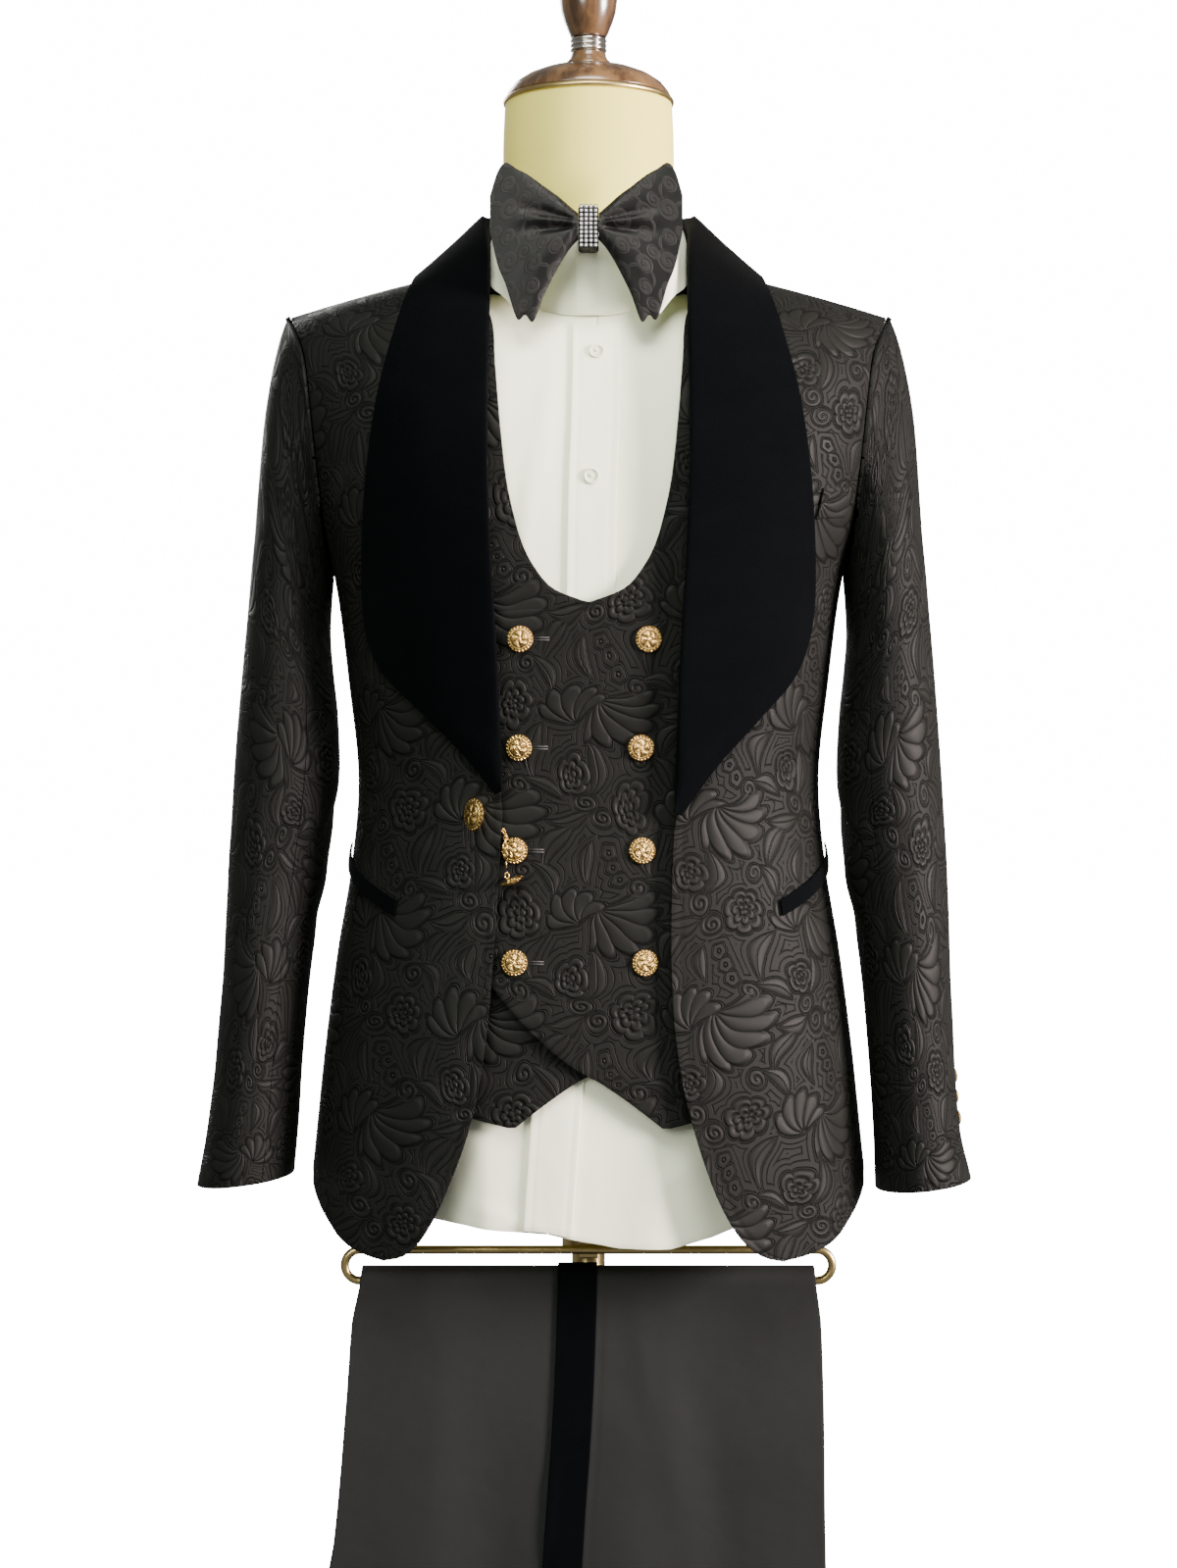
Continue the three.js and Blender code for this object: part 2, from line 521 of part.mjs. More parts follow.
// Sleeves. Each row is a ring from its inner point, next to the body, to its outer point, with its half
// depth.
const sleeveRings = {
  right: [
    { outer: 226, outerHeight: 1427, inner: 191.5, innerHeight: 1226, deep: 50, middle: 2 },
    { outer: 237, outerHeight: 1398, inner: 194.5, innerHeight: 1203, deep: 56, middle: 1 },
    { outer: 244, outerHeight: 1345, inner: 195, innerHeight: 1184, deep: 60, middle: 0 },
    { outer: 250, outerHeight: 1275, inner: 193, innerHeight: 1160, deep: 62, middle: -1 },
    { outer: 257, outerHeight: 1190, inner: 189, innerHeight: 1125, deep: 63, middle: -4 },
    { outer: 264, outerHeight: 1105, inner: 188, innerHeight: 1074, deep: 61, middle: -8 },
    { outer: 268, outerHeight: 1030, inner: 197, innerHeight: 1010, deep: 58, middle: -13 },
    { outer: 272, outerHeight: 950, inner: 207, innerHeight: 943, deep: 56, middle: -19 },
    { outer: 277, outerHeight: 875, inner: 213, innerHeight: 876, deep: 54, middle: -25 },
    { outer: 283, outerHeight: 820, inner: 216, innerHeight: 824, deep: 54, middle: -29 },
    { outer: 290, outerHeight: 779, inner: 219, innerHeight: 787, deep: 55, middle: -32 },
  ],
  left: [
    { outer: 226, outerHeight: 1427, inner: 191.5, innerHeight: 1226, deep: 50, middle: 2 },
    { outer: 238, outerHeight: 1398, inner: 194.5, innerHeight: 1203, deep: 56, middle: 1 },
    { outer: 245, outerHeight: 1345, inner: 195, innerHeight: 1184, deep: 60, middle: 0 },
    { outer: 250, outerHeight: 1275, inner: 193, innerHeight: 1160, deep: 62, middle: -1 },
    { outer: 257, outerHeight: 1190, inner: 189, innerHeight: 1125, deep: 63, middle: -4 },
    { outer: 263, outerHeight: 1105, inner: 187, innerHeight: 1074, deep: 61, middle: -8 },
    { outer: 267, outerHeight: 1030, inner: 193, innerHeight: 1010, deep: 58, middle: -13 },
    { outer: 270, outerHeight: 950, inner: 203, innerHeight: 943, deep: 56, middle: -19 },
    { outer: 272, outerHeight: 875, inner: 209, innerHeight: 872, deep: 54, middle: -26 },
    { outer: 275, outerHeight: 822, inner: 212, innerHeight: 818, deep: 54, middle: -32 },
    { outer: 283, outerHeight: 785, inner: 213, innerHeight: 776, deep: 55, middle: -36 },
  ],
};
const SLEEVE_START = 2.8;
const SLEEVE_FULL = 0.92;
// A point of the sleeve: round 0 is under the arm, 0.25 the front, 0.5 the outside, 0.75 behind.
function sleevePoint(side, round, ring) {
  const rows = sleeveRings[side];
  const of = (column) => read(rows, column, ring);
  const turn = 2 * Math.PI * round;
  const reach = (1 - Math.cos(turn)) / 2;
  const full = Math.sign(Math.sin(turn)) * Math.abs(Math.sin(turn)) ** SLEEVE_FULL;
  const free = new THREE.Vector3(lerp(of("inner"), of("outer"), reach), of("middle") - of("deep") * full,
    lerp(of("innerHeight"), of("outerHeight"), reach));
  const join = smooth(clamp(ring / 2));
  if (join >= 1) return free;
  const row = lerp(UNDERARM, SHOULDER, reach);
  const angle = armholeAngle(row);
  const seam = bodyPoint(JACKET, round % 1 > 0.5 ? 180 - angle : angle, row);
  seam.x += SLEEVE_START;
  return seam.lerp(free, join);
}
const sleevePieces = { upper: [0.17, 0.8], under: [-0.2, 0.17] };
const SLEEVE_SEAM_SHARE = 0.0022;
for (const [side, mirror] of [["right", -1], ["left", 1]]) {
  const last = sleeveRings[side].length - 1;
  for (const [piece, [from, to]] of Object.entries(sleevePieces)) {
    const surface = (u, v) => sleevePoint(side, (lerp(from, to, u) + 1) % 1, v * last);
    const us = steps(piece === "upper" ? 10 : 6);
    add(`sleeve_${piece}_${side}`, wall(us, steps(14), (u, v, face) => {
      const t = lerp(SLEEVE_SEAM_SHARE, 1 - SLEEVE_SEAM_SHARE, u);
      const p = surface(t, v).addScaledVector(normalOf(surface, t, v), face * CLOTH.jacket);
      p.x *= mirror;
      return p;
    }), "brocade");
  }
}

// Waistcoat: two crossed fronts with pointed hems, cut low in front, and one back.
const lowNeck = [
  { x: 0, height: 1205 },
  { x: 24, height: 1214 },
  { x: 37, height: 1227 },
  { x: 48, height: 1247 },
  { x: 56, height: 1276 },
  { x: 61, height: 1305 },
  { x: 66, height: 1357 },
  { x: 70, height: 1410 },
];
const waistcoatCut = { overlap: 70, topEdge: 1198, waist: 1060, frontEnd: 930, pointAt: 54, point: 828,
  neckPoint: 76,
  shoulder: 150, napeRow: 13.5, under: -4.4, sideSeam: 90.3 };
const waistcoatHem = [
  { angle: 18, height: 829 },
  { angle: 33, height: 843 },
  { angle: 50, height: 856 },
  { angle: 73, height: 864 },
  { angle: 90, height: 867 },
  { angle: 180, height: 872 },
];
const waistcoatArmhole = [
  { row: 7.7, x: 200 },
  { row: 8.05, x: 175 },
  { row: 9, x: 165 },
  { row: 10, x: 156 },
  { row: 11.2, x: 149 },
  { row: 12.5, x: 147 },
].map(({ row, x }) => [Math.min(89.9, angleOf(WAISTCOAT, x, row)), row]);
const waistcoatHemPlace = (angle) => [angle,
  levelOf(WAISTCOAT, readAt(waistcoatHem, "angle", "height", angle))];
const shoulderEnd = [angleOf(WAISTCOAT, waistcoatCut.shoulder, SHOULDER), SHOULDER];
// The right front passes under the left one.
for (const [side, mirror, under] of [["right", true, waistcoatCut.under], ["left", false, 0]]) {
  const cut = waistcoatCut;
  const frontLine = [cut.frontEnd, cut.waist, cut.topEdge].map((z) => place(WAISTCOAT, -cut.overlap, z));
  const topLine = [-46, -22].map((x) => place(WAISTCOAT, x, cut.topEdge + 2));
  const neckLine = [...topLine, ...lowNeck.map((n) => place(WAISTCOAT, n.x, n.height)),
    [angleOf(WAISTCOAT, cut.neckPoint, SHOULDER), SHOULDER]];
  const outer = [waistcoatHemPlace(89.9), ...waistcoatArmhole, shoulderEnd];
  const hemLine = [frontLine[0], place(WAISTCOAT, cut.pointAt, cut.point),
    ...[33, 50, 70, 89.9].map(waistcoatHemPlace)];
  const edges = { inner: through([...frontLine, ...neckLine]), outer: through(outer), hem: through(hemLine),
    top: through([neckLine[neckLine.length - 1], shoulderEnd]) };
  const corners = [2, 3, 4, 5, 6, 7, 9, 12].map((k) => edges.inner.stops[k]);
  add(`waistcoat_front_${side}`, panel({ share: WAISTCOAT, edges, us: steps(7, edges.hem.stops[1]),
    vs: steps(11, ...corners), thick: CLOTH.waistcoat, shift: -SHOULDER_SEAM / 2, mirror,
    out: () => under }), "brocade");
}

// The edges of a back in one piece, from the wearer's left side seam round to the right one.
function wholeBack({ share, hemAt, sideSeam, armhole, shoulder, neckPoint, napeRow }) {
  const half = [hemAt(sideSeam), ...armhole.map(([angle, row]) => [180 - angle, row]),
    [180 - shoulder, SHOULDER]];
  const other = half.map(([angle, row]) => [360 - angle, row]);
  const neck = between(0, 180, 8, (t) => {
    const row = lerp(SHOULDER, napeRow, Math.sin(rad(t)));
    const angle = angleOf(share, neckPoint * Math.abs(Math.cos(rad(t))), row);
    return [t <= 90 ? 180 - angle : 180 + angle, row];
  });
  return { inner: through(half), outer: through(other),
    hem: through(between(sideSeam, 360 - sideSeam, 12, hemAt)),
    top: through([half[half.length - 1], ...neck, other[other.length - 1]]) };
}
{
  const { sideSeam, neckPoint, napeRow } = waistcoatCut;
  const edges = wholeBack({ share: WAISTCOAT, sideSeam, shoulder: shoulderEnd[0], neckPoint, napeRow,
    armhole: waistcoatArmhole.map(([a, r]) => [a - (a > 89 ? 0.3 : 0), r]),
    hemAt: (a) => [a, waistcoatHemPlace(a > 180 ? 360 - a : a)[1]] });
  add("waistcoat_back",
    panel({ share: WAISTCOAT, edges, us: steps(12, edges.top.stops[1], edges.top.stops[9]),
    vs: steps(11), thick: CLOTH.waistcoat, shift: SHOULDER_SEAM / 2 }), "brocade");
}

// Shirt: two fronts that meet under the placket, one back, a stand and a turned-down collar.
const placketLine = [
  { height: 700, x: -33 },
  { height: 850, x: -22 },
  { height: 1050, x: -7 },
  { height: 1210, x: 2 },
  { height: 1440, x: 7 },
];
const placketAt = (height) => readAt(placketLine, "height", "x", height);
const shirtHem = [
  { angle: -180, height: 752 },
  { angle: -90, height: 775 },
  { angle: -60, height: 764 },
  { angle: -30, height: 757 },
  { angle: -10, height: 750 },
  { angle: 8, height: 740 },
  { angle: 25, height: 744 },
  { angle: 45, height: 762 },
  { angle: 90, height: 778 },
  { angle: 180, height: 752 },
];
const shirtHemPlace = (angle) =>
  [angle, levelOf(SHIRT, readAt(shirtHem, "angle", "height", angle > 180 ? angle - 360 : angle))];
const shirtArmhole = [
  { row: 8, x: 200 },
  { row: 8.5, x: 174 },
  { row: 9.3, x: 180 },
  { row: 10.5, x: 183 },
  { row: 12, x: 187 },
].map(({ row, x }) => [Math.min(89.9, angleOf(SHIRT, x, row)), row]);
const shirtShoulder = [angleOf(SHIRT, 198, SHOULDER), SHOULDER];
const SHIRT_NECK = { side: 72, frontRow: 12.4, napeRow: 13 };
const shirtWaves = [
  { angle: -22, reach: 5, depth: 4 },
  { angle: -38, reach: 6, depth: -3 },
  { angle: 13, reach: 6, depth: 4.5 },
  { angle: 30, reach: 7, depth: -3 },
  { angle: 50, reach: 6, depth: 4 },
  { angle: -62, reach: 6, depth: 3 },
];
const shirtHang = (angle, row) =>
  shirtWaves.reduce((sum, w) => sum + w.depth * bump(angle, w.angle, w.reach), 0)
  * smooth(clamp((3.2 - row) / 2.5));
const SHIRT_ROWS = [0, 0.12, 0.24, 0.36, 0.48, 0.59, 0.69, 0.78, 0.86, 0.93, 1];
const PLACKET_HALF = 17.5;
const shirtFronts = {};
for (const [side, turn] of [["right", -1], ["left", 1]]) {
  const closing = [740, 850, 950, 1050, 1130, 1210, 1330].map((z) => {
    const height = z === 740 ? readAt(shirtHem, "angle", "height", -12) : z;
    return place(SHIRT, placketAt(height) + (turn * SEAM) / 2, height);
  });
  closing.push([angleOf(SHIRT, placketAt(1440) + (turn * SEAM) / 2, SHIRT_NECK.frontRow),
    SHIRT_NECK.frontRow]);
  const start = closing[0];
  const outer = [shirtHemPlace(turn * 89.9), ...shirtArmhole.map(([a, r]) => [turn * Math.min(a, 89.9), r]),
    [turn * shirtShoulder[0], SHOULDER]];
  const neck = between(0, 80, 4, (t) => {
    const row = lerp(SHIRT_NECK.frontRow, SHOULDER, 1 - Math.cos(rad(t * 1.125)));
    const x = lerp(Math.abs(placketAt(1440)), SHIRT_NECK.side, Math.sin(rad(t * 1.125)));
    return [angleOf(SHIRT, turn * x, row), row];
  });
  neck[0] = closing[closing.length - 1];
  const top = through([...neck, outer[outer.length - 1]]);
  const hemLine = between(start[0], turn * 89.9, 8,
    (a) => [a, a === start[0] ? start[1] : shirtHemPlace(a)[1]]);
  const edges = { inner: through(closing), outer: through(outer), top, hem: through(hemLine) };
  const map = filled(edges);
  shirtFronts[side] = (u, v, out) => {
    const [angle, row] = map(u, v);
    return moved(SHIRT, angle, row, shirtHang(angle, row) + out);
  };
  add(`shirt_front_${side}`, panel({ share: SHIRT, edges, us: steps(8, top.stops[4]), vs: SHIRT_ROWS,
    thick: CLOTH.shirt, shift: -SHOULDER_SEAM / 2,
    out: (u, v, angle, row) => shirtHang(angle, row) }), "shirt");
}
{
  const edges = wholeBack({ share: SHIRT, sideSeam: 90.3, shoulder: shirtShoulder[0],
    neckPoint: SHIRT_NECK.side,
    napeRow: SHIRT_NECK.napeRow, armhole: shirtArmhole.map(([a, r]) => [Math.min(a, 89.7), r]),
    hemAt: shirtHemPlace });
  add("shirt_back", panel({ share: SHIRT, edges, us: steps(12, edges.top.stops[1], edges.top.stops[9]),
    vs: steps(11),
    thick: CLOTH.shirt, shift: SHOULDER_SEAM / 2 }), "shirt");
}
// The placket lies on both fronts, row for row, and covers where they meet.
function placketPoint(turn, v, out) {
  const front = shirtFronts[turn < 0 ? "right" : "left"];
  const columns = steps(8);
  const middle = front(0, v, out);
  if (Math.abs(turn) < 0.5) return middle;
  let k = 1;
  while (Math.abs(front(columns[k], v, out).x - middle.x) < PLACKET_HALF) k += 1;
  const [near, far] = [front(columns[k - 1], v, out), front(columns[k], v, out)];
  return near.lerp(far, (PLACKET_HALF - Math.abs(near.x - middle.x)) / Math.abs(far.x - near.x));
}
const PLACKET_ENDS = [0.02, 0.966];
add("shirt_placket", wall([-1, -0.1, 0.1, 1], [PLACKET_ENDS[0], ...SHIRT_ROWS.slice(1, -1), PLACKET_ENDS[1]],
  (u, v, face) => placketPoint(u, v, 1.2 + (1 - face))), "shirt");

// The collar's two parts are read from stations round the neck, from the middle of the front to the middle
// behind.
const shirtCollar = [
  { x: 0, y: -66.2, top: 1489, bottom: 1418, leafX: 51, leafY: -86, leafZ: 1415 },
  { x: 22, y: -62.8, top: 1490, bottom: 1419.5, leafX: 60, leafY: -78, leafZ: 1428 },
  { x: 44.5, y: -49, top: 1493, bottom: 1430, leafX: 69, leafY: -62, leafZ: 1438 },
  { x: 61, y: -25.5, top: 1496, bottom: 1454, leafX: 73.2, leafY: -31, leafZ: 1450 },
  { x: 66.3, y: 4, top: 1498, bottom: 1463, leafX: 74, leafY: 4, leafZ: 1463 },
  { x: 57.4, y: 38.5, top: 1500, bottom: 1466, leafX: 60.4, leafY: 41, leafZ: 1473 },
  { x: 32.6, y: 60.8, top: 1501, bottom: 1468, leafX: 33.6, leafY: 64.4, leafZ: 1474 },
  { x: 0, y: 67.8, top: 1501, bottom: 1468, leafX: 0, leafY: 71.6, leafZ: 1474 },
];
const LEAF_START = 0.32;
const NECK_MIDDLE = 3;
const NECK_ROUND = 67;
// Reads the collar all round: -1 is the right end in front, 0 the middle behind, 1 the left end in front.
function collarAt(turn, from = 0) {
  const at = lerp(shirtCollar.length - 1, from, Math.abs(turn));
  const of = (column) => read(shirtCollar, column, at);
  const side = turn < 0 ? -1 : 1;
  return { x: side * of("x"), y: of("y"), top: of("top"), bottom: of("bottom"), leafX: side * of("leafX"),
    leafY: of("leafY"), leafZ: of("leafZ") };
}
add("shirt_collar_stand", wall(steps(18), steps(1), (u, v, face) => {
  const s = collarAt(lerp(-0.995, 0.995, u));
  const grow = 1 - (face * CLOTH.shirt) / NECK_ROUND;
  return new THREE.Vector3(s.x * grow, (s.y - NECK_MIDDLE) * grow + NECK_MIDDLE, lerp(s.bottom, s.top, v));
}), "shirt");
// The leaf folds over just outside the stand's top and falls to its own edge, a little full in between.
const LEAF_FOLD_GAP = 1.3;
const LEAF_FULL = 1.2;
const LEAF_EASE = 1.012;
add("shirt_collar_leaf", wall(steps(20), steps(2), (u, v, face) => {
  const fold = collarAt(lerp(-1, 1, u), LEAF_START);
  const s = collarAt(lerp(-1, 1, u));
  const grow = 1 + (LEAF_FOLD_GAP + (1 - face) * CLOTH.shirt) / NECK_ROUND;
  const roll = new THREE.Vector3(fold.x * grow, (fold.y - NECK_MIDDLE) * grow + NECK_MIDDLE, fold.top - 0.5);
  const outward = new THREE.Vector3(s.leafX, s.leafY - NECK_MIDDLE, 0).normalize();
  const end = new THREE.Vector3(s.leafX * LEAF_EASE, s.leafY * LEAF_EASE, s.leafZ);
  end.addScaledVector(outward, -face * CLOTH.shirt);
  return roll.lerp(end, v).addScaledVector(outward, LEAF_FULL * Math.sin(Math.PI * v));
}), "shirt");

// Finds where a line drawn in along a normal meets a piece, and which way the piece faces there.
const LINE_START = 20;
function seatAt(name, point, normal) {
  const carrier = tuxedo.getObjectByName(name);
  carrier.updateMatrixWorld(true);
  const ray = new THREE.Raycaster(point.clone().addScaledVector(normal, LINE_START),
    normal.clone().negate());
  const [hit] = ray.intersectObject(carrier);
  return { point: hit.point, normal: hit.face.normal.clone() };
}
function seatOn(name, share, x, height) {
  const [angle, row] = place(share, x, height);
  return seatAt(name, bodyPoint(share, angle, row), bodyNormal(share, angle, row));
}

// Buttons. Each is a turned dome or disc on a short back, set square on its seat.
function button(name, size) {
  const { radius, high, seat, lift = TRIM_GAP, material, profile = "dome", sides = 10 } = size;
  const facing = size.facing ?? seat.normal;
  const shapes = {
    dome: [[0, 0], [0.5, 0], [0.5, 0.3], [1, 0.4], [0.72, 0.82], [0, 1]],
    disc: [[0, 0], [1, 0], [1, 0.7], [0.75, 1], [0, 0.8]],
  };
  const outline = shapes[profile].map(([r, h]) => new THREE.Vector2(r * radius, h * high));
  const mesh = add(name, new THREE.LatheGeometry(outline, sides), material);
  mesh.quaternion.setFromUnitVectors(new THREE.Vector3(0, 1, 0), facing);
  mesh.position.copy(seat.point).addScaledVector(seat.normal, lift);
  return mesh;
}
const waistcoatButtons = [
  { height: 1179, right: -49, left: 43 },
  { height: 1101, right: -50, left: 37.5 },
  { height: 1027, right: -53, left: 38.5 },
  { height: 947, right: -53, left: 40.5 },
];
waistcoatButtons.forEach((b, i) => {
  for (const side of ["right", "left"]) {
    const seat = seatOn("waistcoat_front_left", WAISTCOAT, b[side], b.height);
    button(`waistcoat_button_${side}_${i + 1}`, { radius: 9.8, high: 5.2, seat, material: "gold" });
  }
});
[[5.7, 1388], [2, 1296]].forEach(([x, z], i) => {
  const seat = seatOn("shirt_placket", SHIRT, x, z);
  button(`shirt_button_${i + 1}`, { radius: 5.8, high: 2.4, seat, material: "shirt", profile: "disc" });
});
const cuffButtons = { heights: [856, 840.5, 825], radius: 7.3, high: 5, right: 0.64, left: 0.545 };
const ELBOW_RING = 5;
for (const [side, mirror] of [["right", -1], ["left", 1]]) {
  cuffButtons.heights.forEach((height, i) => {
    const round = cuffButtons[side];
    const last = sleeveRings[side].length - 1;
    let [low, high] = [ELBOW_RING, last];
    for (let k = 0; k < 30; k += 1) {
      const ring = (low + high) / 2;
      if (sleevePoint(side, round, ring).z > height) low = ring;
      else high = ring;
    }
    const surface = (u, v) => sleevePoint(side, u, v * last);
    const point = surface(round, low / last);
    const normal = normalOf(surface, round, low / last).negate();
    point.x *= mirror;
    normal.x *= mirror;
    const seat = seatAt(`sleeve_upper_${side}`, point, normal);
    const { radius, high: tall } = cuffButtons;
    button(`cuff_button_${side}_${i + 1}`, { radius, high: tall, seat, material: "gold" });
  });
}

// The jacket closes with a link: a large button on the right front, and a chain with a second button that
// hangs behind that front's edge.
const jacketButton = { at: [-79, 1053], radius: 12, high: 5.5, turned: -38, shank: 5.4, shankRadius: 1.5,
  clear: 2.6 };
{
  const { at, radius, high, turned: turn, shank, shankRadius, clear } = jacketButton;
  const seat = seatOn("jacket_front_right", JACKET, ...at);
  const facing = seat.normal.clone().applyAxisAngle(new THREE.Vector3(0, 0, 1), rad(turn));
  button("jacket_button", { radius, high, seat, lift: shank + clear, facing, material: "gold", sides: 16 });
  const mesh = add("jacket_button_shank", new THREE.CylinderGeometry(shankRadius, shankRadius, shank, 8),
    "gold");
  mesh.quaternion.setFromUnitVectors(new THREE.Vector3(0, 1, 0), seat.normal);
  mesh.position.copy(seat.point).addScaledVector(seat.normal, TRIM_GAP + shank / 2);
}
const link = { radius: 1.5, wire: 0.55, count: 10, button: [-55.3, -114.6, 1007.5],
  facing: [0.38, 0.12, -0.92], outline: [[0, 0], [8.6, 0], [9, 0.8], [6, 3], [0, 4]],
  route: [[-63.6, -105.8, 1043], [-59.4, -107.6, 1038.5], [-59.6, -113.3, 1030], [-58, -113.8, 1005.5]] };
{
  const route = new THREE.CatmullRomCurve3(link.route.map((p) => new THREE.Vector3(...p)));
  const rings = Array.from({ length: link.count }, (_, i) => {
    const at = (i + 0.5) / link.count;
    const stand = new THREE.Quaternion().setFromUnitVectors(new THREE.Vector3(1, 0, 0),
      route.getTangentAt(at));
    const middle = route.getPointAt(at);
    return new THREE.TorusGeometry(link.radius, link.wire, 4, 6).scale(1.45, 1, 1)
      .rotateX((i % 2) * (Math.PI / 2))
      .applyQuaternion(stand).translate(middle.x, middle.y, middle.z);
  });
  const face = new THREE.Quaternion()
    .setFromUnitVectors(new THREE.Vector3(0, 1, 0), new THREE.Vector3(...link.facing).normalize());
  const disc = new THREE.LatheGeometry(link.outline.map(([r, h]) => new THREE.Vector2(r, h)), 12)
    .applyQuaternion(face).translate(...link.button);
  add("link_chain", joined(...rings, disc), "gold");
}

// Bow tie: two pleated wings, the knot and the band round the collar.
const bow = { knotHalf: 7.4, knotHeight: 1477.5, knotTall: 31, knotBack: -70.1, knotDeep: 24, plane: -92 };
// Each row is one line across a wing, from the knot outwards: its distance, its upper and lower edge.
const wing = [
  { x: 7.8, top: 1487, bottom: 1468 },
  { x: 14, top: 1492, bottom: 1461 },
  { x: 22, top: 1499, bottom: 1448 },
  { x: 32, top: 1506, bottom: 1429 },
  { x: 40, top: 1512, bottom: 1409 },
  { x: 46, top: 1516, bottom: 1413.5 },
  { x: 52, top: 1519, bottom: 1411 },
  { x: 60, top: 1523.5, bottom: 1435 },
  { x: 66, top: 1517, bottom: 1450 },
  { x: 71.5, top: 1500, bottom: 1474 },
];
// A wing's pleats run out from the knot. depth is how far a ridge stands out.
const pleats = [
  { at: 0.2, reach: 0.13, depth: 3.6 },
  { at: 0.42, reach: 0.06, depth: -3.4 },
  { at: 0.52, reach: 0.05, depth: 2.6 },
  { at: 0.6, reach: 0.05, depth: -2.4 },
  { at: 0.8, reach: 0.14, depth: 2.2 },
];
for (const [side, turn, size] of [["right", -1, 1], ["left", 1, 0.95]]) {
  const last = wing.length - 1;
  add(`bow_wing_${side}`, wall(steps(8), steps(12), (u, v, face) => {
    const x = read(wing, "x", u * last);
    const [top, bottom] = [read(wing, "top", u * last), read(wing, "bottom", u * last)];
    const fade = (1 - 0.55 * u) * smooth(clamp(u * 6));
    const relief = pleats.reduce((sum, p) => sum + p.depth * bump(v, p.at, p.reach), 0) * fade;
    const edge = Math.sin(Math.PI * clamp(v, 0.02, 0.98)) ** 0.5;
    const body = 3 + 4.5 * edge * (1 - 0.5 * u);
    const y = bow.plane - (face ? -2 - 2.5 * edge * (1 - u) : body + relief * edge);
    return new THREE.Vector3(turn * (bow.knotHalf + SEAM + (x - wing[0].x) * size), y, lerp(top, bottom, v));
  }), "satin");
}
{
  const box = new THREE.Shape();
  const [w, h] = [bow.knotHalf, bow.knotTall / 2];
  box.moveTo(-w, -h).lineTo(w, -h).lineTo(w, h).lineTo(-w, h).closePath();
  const knot = new THREE.ExtrudeGeometry(box, { depth: bow.knotDeep, bevelEnabled: true, bevelSize: 2,
    bevelThickness: 3, bevelSegments: 2, bevelOffset: -2 });
  const mesh = add("bow_knot", knot, "satin");
  mesh.rotation.x = Math.PI / 2;
  mesh.position.set(0, bow.knotBack, bow.knotHeight);
}

// Trousers: folded along the creases with the outseam's velvet stripe in front, and hung over the bar.
const bar = { y: -45, z: 708, rod: 3.2, rise: 23, end: 180 };
const drape = [
  { along: -545, backEdge: -222, frontEdge: 188, stripe: -22 },
  { along: -470, backEdge: -240, frontEdge: 192, stripe: -24 },
  { along: -385, backEdge: -252, frontEdge: 200, stripe: -25 },
  { along: -320, backEdge: -232, frontEdge: 196, stripe: -24 },
  { along: -262, backEdge: -199, frontEdge: 177, stripe: -21 },
  { along: -200, backEdge: -187, frontEdge: 174, stripe: -18 },
  { along: -110, backEdge: -179, frontEdge: 173, stripe: -12 },
  { along: -40, backEdge: -174, frontEdge: 171, stripe: -9 },
  { along: 0, backEdge: -167, frontEdge: 166.5, stripe: -8 },
  { along: 40, backEdge: -173, frontEdge: 170, stripe: -7 },
  { along: 150, backEdge: -158, frontEdge: 153, stripe: -6 },
  { along: 300, backEdge: -134, frontEdge: 127, stripe: -5 },
  { along: 420, backEdge: -117, frontEdge: 109, stripe: -5 },
  { along: 520, backEdge: -104, frontEdge: 97, stripe: -4 },
];
const fabricWaves = [
  { x: -120, reach: 30, depth: 2.5 },
  { x: -60, reach: 22, depth: -2 },
  { x: 40, reach: 26, depth: 2.8 },
  { x: 110, reach: 34, depth: -2.2 },
];
// A point of the cloth at a distance along it from the fold, and out from the rod.
const ROD_ARC = (Math.PI / 2) * (bar.rod + 4);
function drapePoint(along, x, out) {
  const r = bar.rod + out;
  const arc = ROD_ARC;
  const wave = fabricWaves.reduce((sum, w) => sum + w.depth * bump(x, w.x + along * 0.05, w.reach), 0)
    * smooth(clamp((Math.abs(along) - 25) / 160)) * (along < 0 ? 0.7 : 0.25);
  if (Math.abs(along) <= arc) {
    const turn = (along / arc) * (Math.PI / 2);
    return new THREE.Vector3(x, bar.y + r * Math.sin(turn), bar.z + r * Math.cos(turn));
  }
  const side = Math.sign(along);
  const down = Math.abs(along) - arc;
  const spread = 3 * smooth(clamp(down / 120));
  return new THREE.Vector3(x, bar.y + side * (r + spread) - wave, bar.z - down);
}
const alongSteps = (from, to) => {
  const fold = [-1, -0.5, 0, 0.5, 1].map((share) => share * ROD_ARC);
  const marks = [-460, -385, -320, -262, -200, -130, -60, ...fold, 80, 200, 330, 520];
  return [from, ...marks.filter((m) => m > from + 4 && m < to - 4), to];
};
const STRIPE_HALF = 14.5;
const HIDDEN_DEEP = 5.4;
const trouserPanel = (name, from, to, low, high, acrossSteps, out, thick, material) => {
  const marks = alongSteps(low, high);
  add(name, wall(steps(acrossSteps), marks, (u, along, face) =>
    drapePoint(along, lerp(from(along), to(along), u), out - face * thick)), material);
};
const edge = (column, shift = 0) => (along) => readAt(drape, "along", column, along) + shift;
const OUTER = HIDDEN_DEEP + 1.3 + CLOTH.trousers;
const ACROSS = 4;
const LEG_TOP = -504.5;
const HEM_ALONG = 520;
trouserPanel("trouser_leg_front_panel", edge("stripe", SEAM / 2), edge("frontEdge"), LEG_TOP, HEM_ALONG,
  ACROSS,
  OUTER, CLOTH.trousers, "wool");
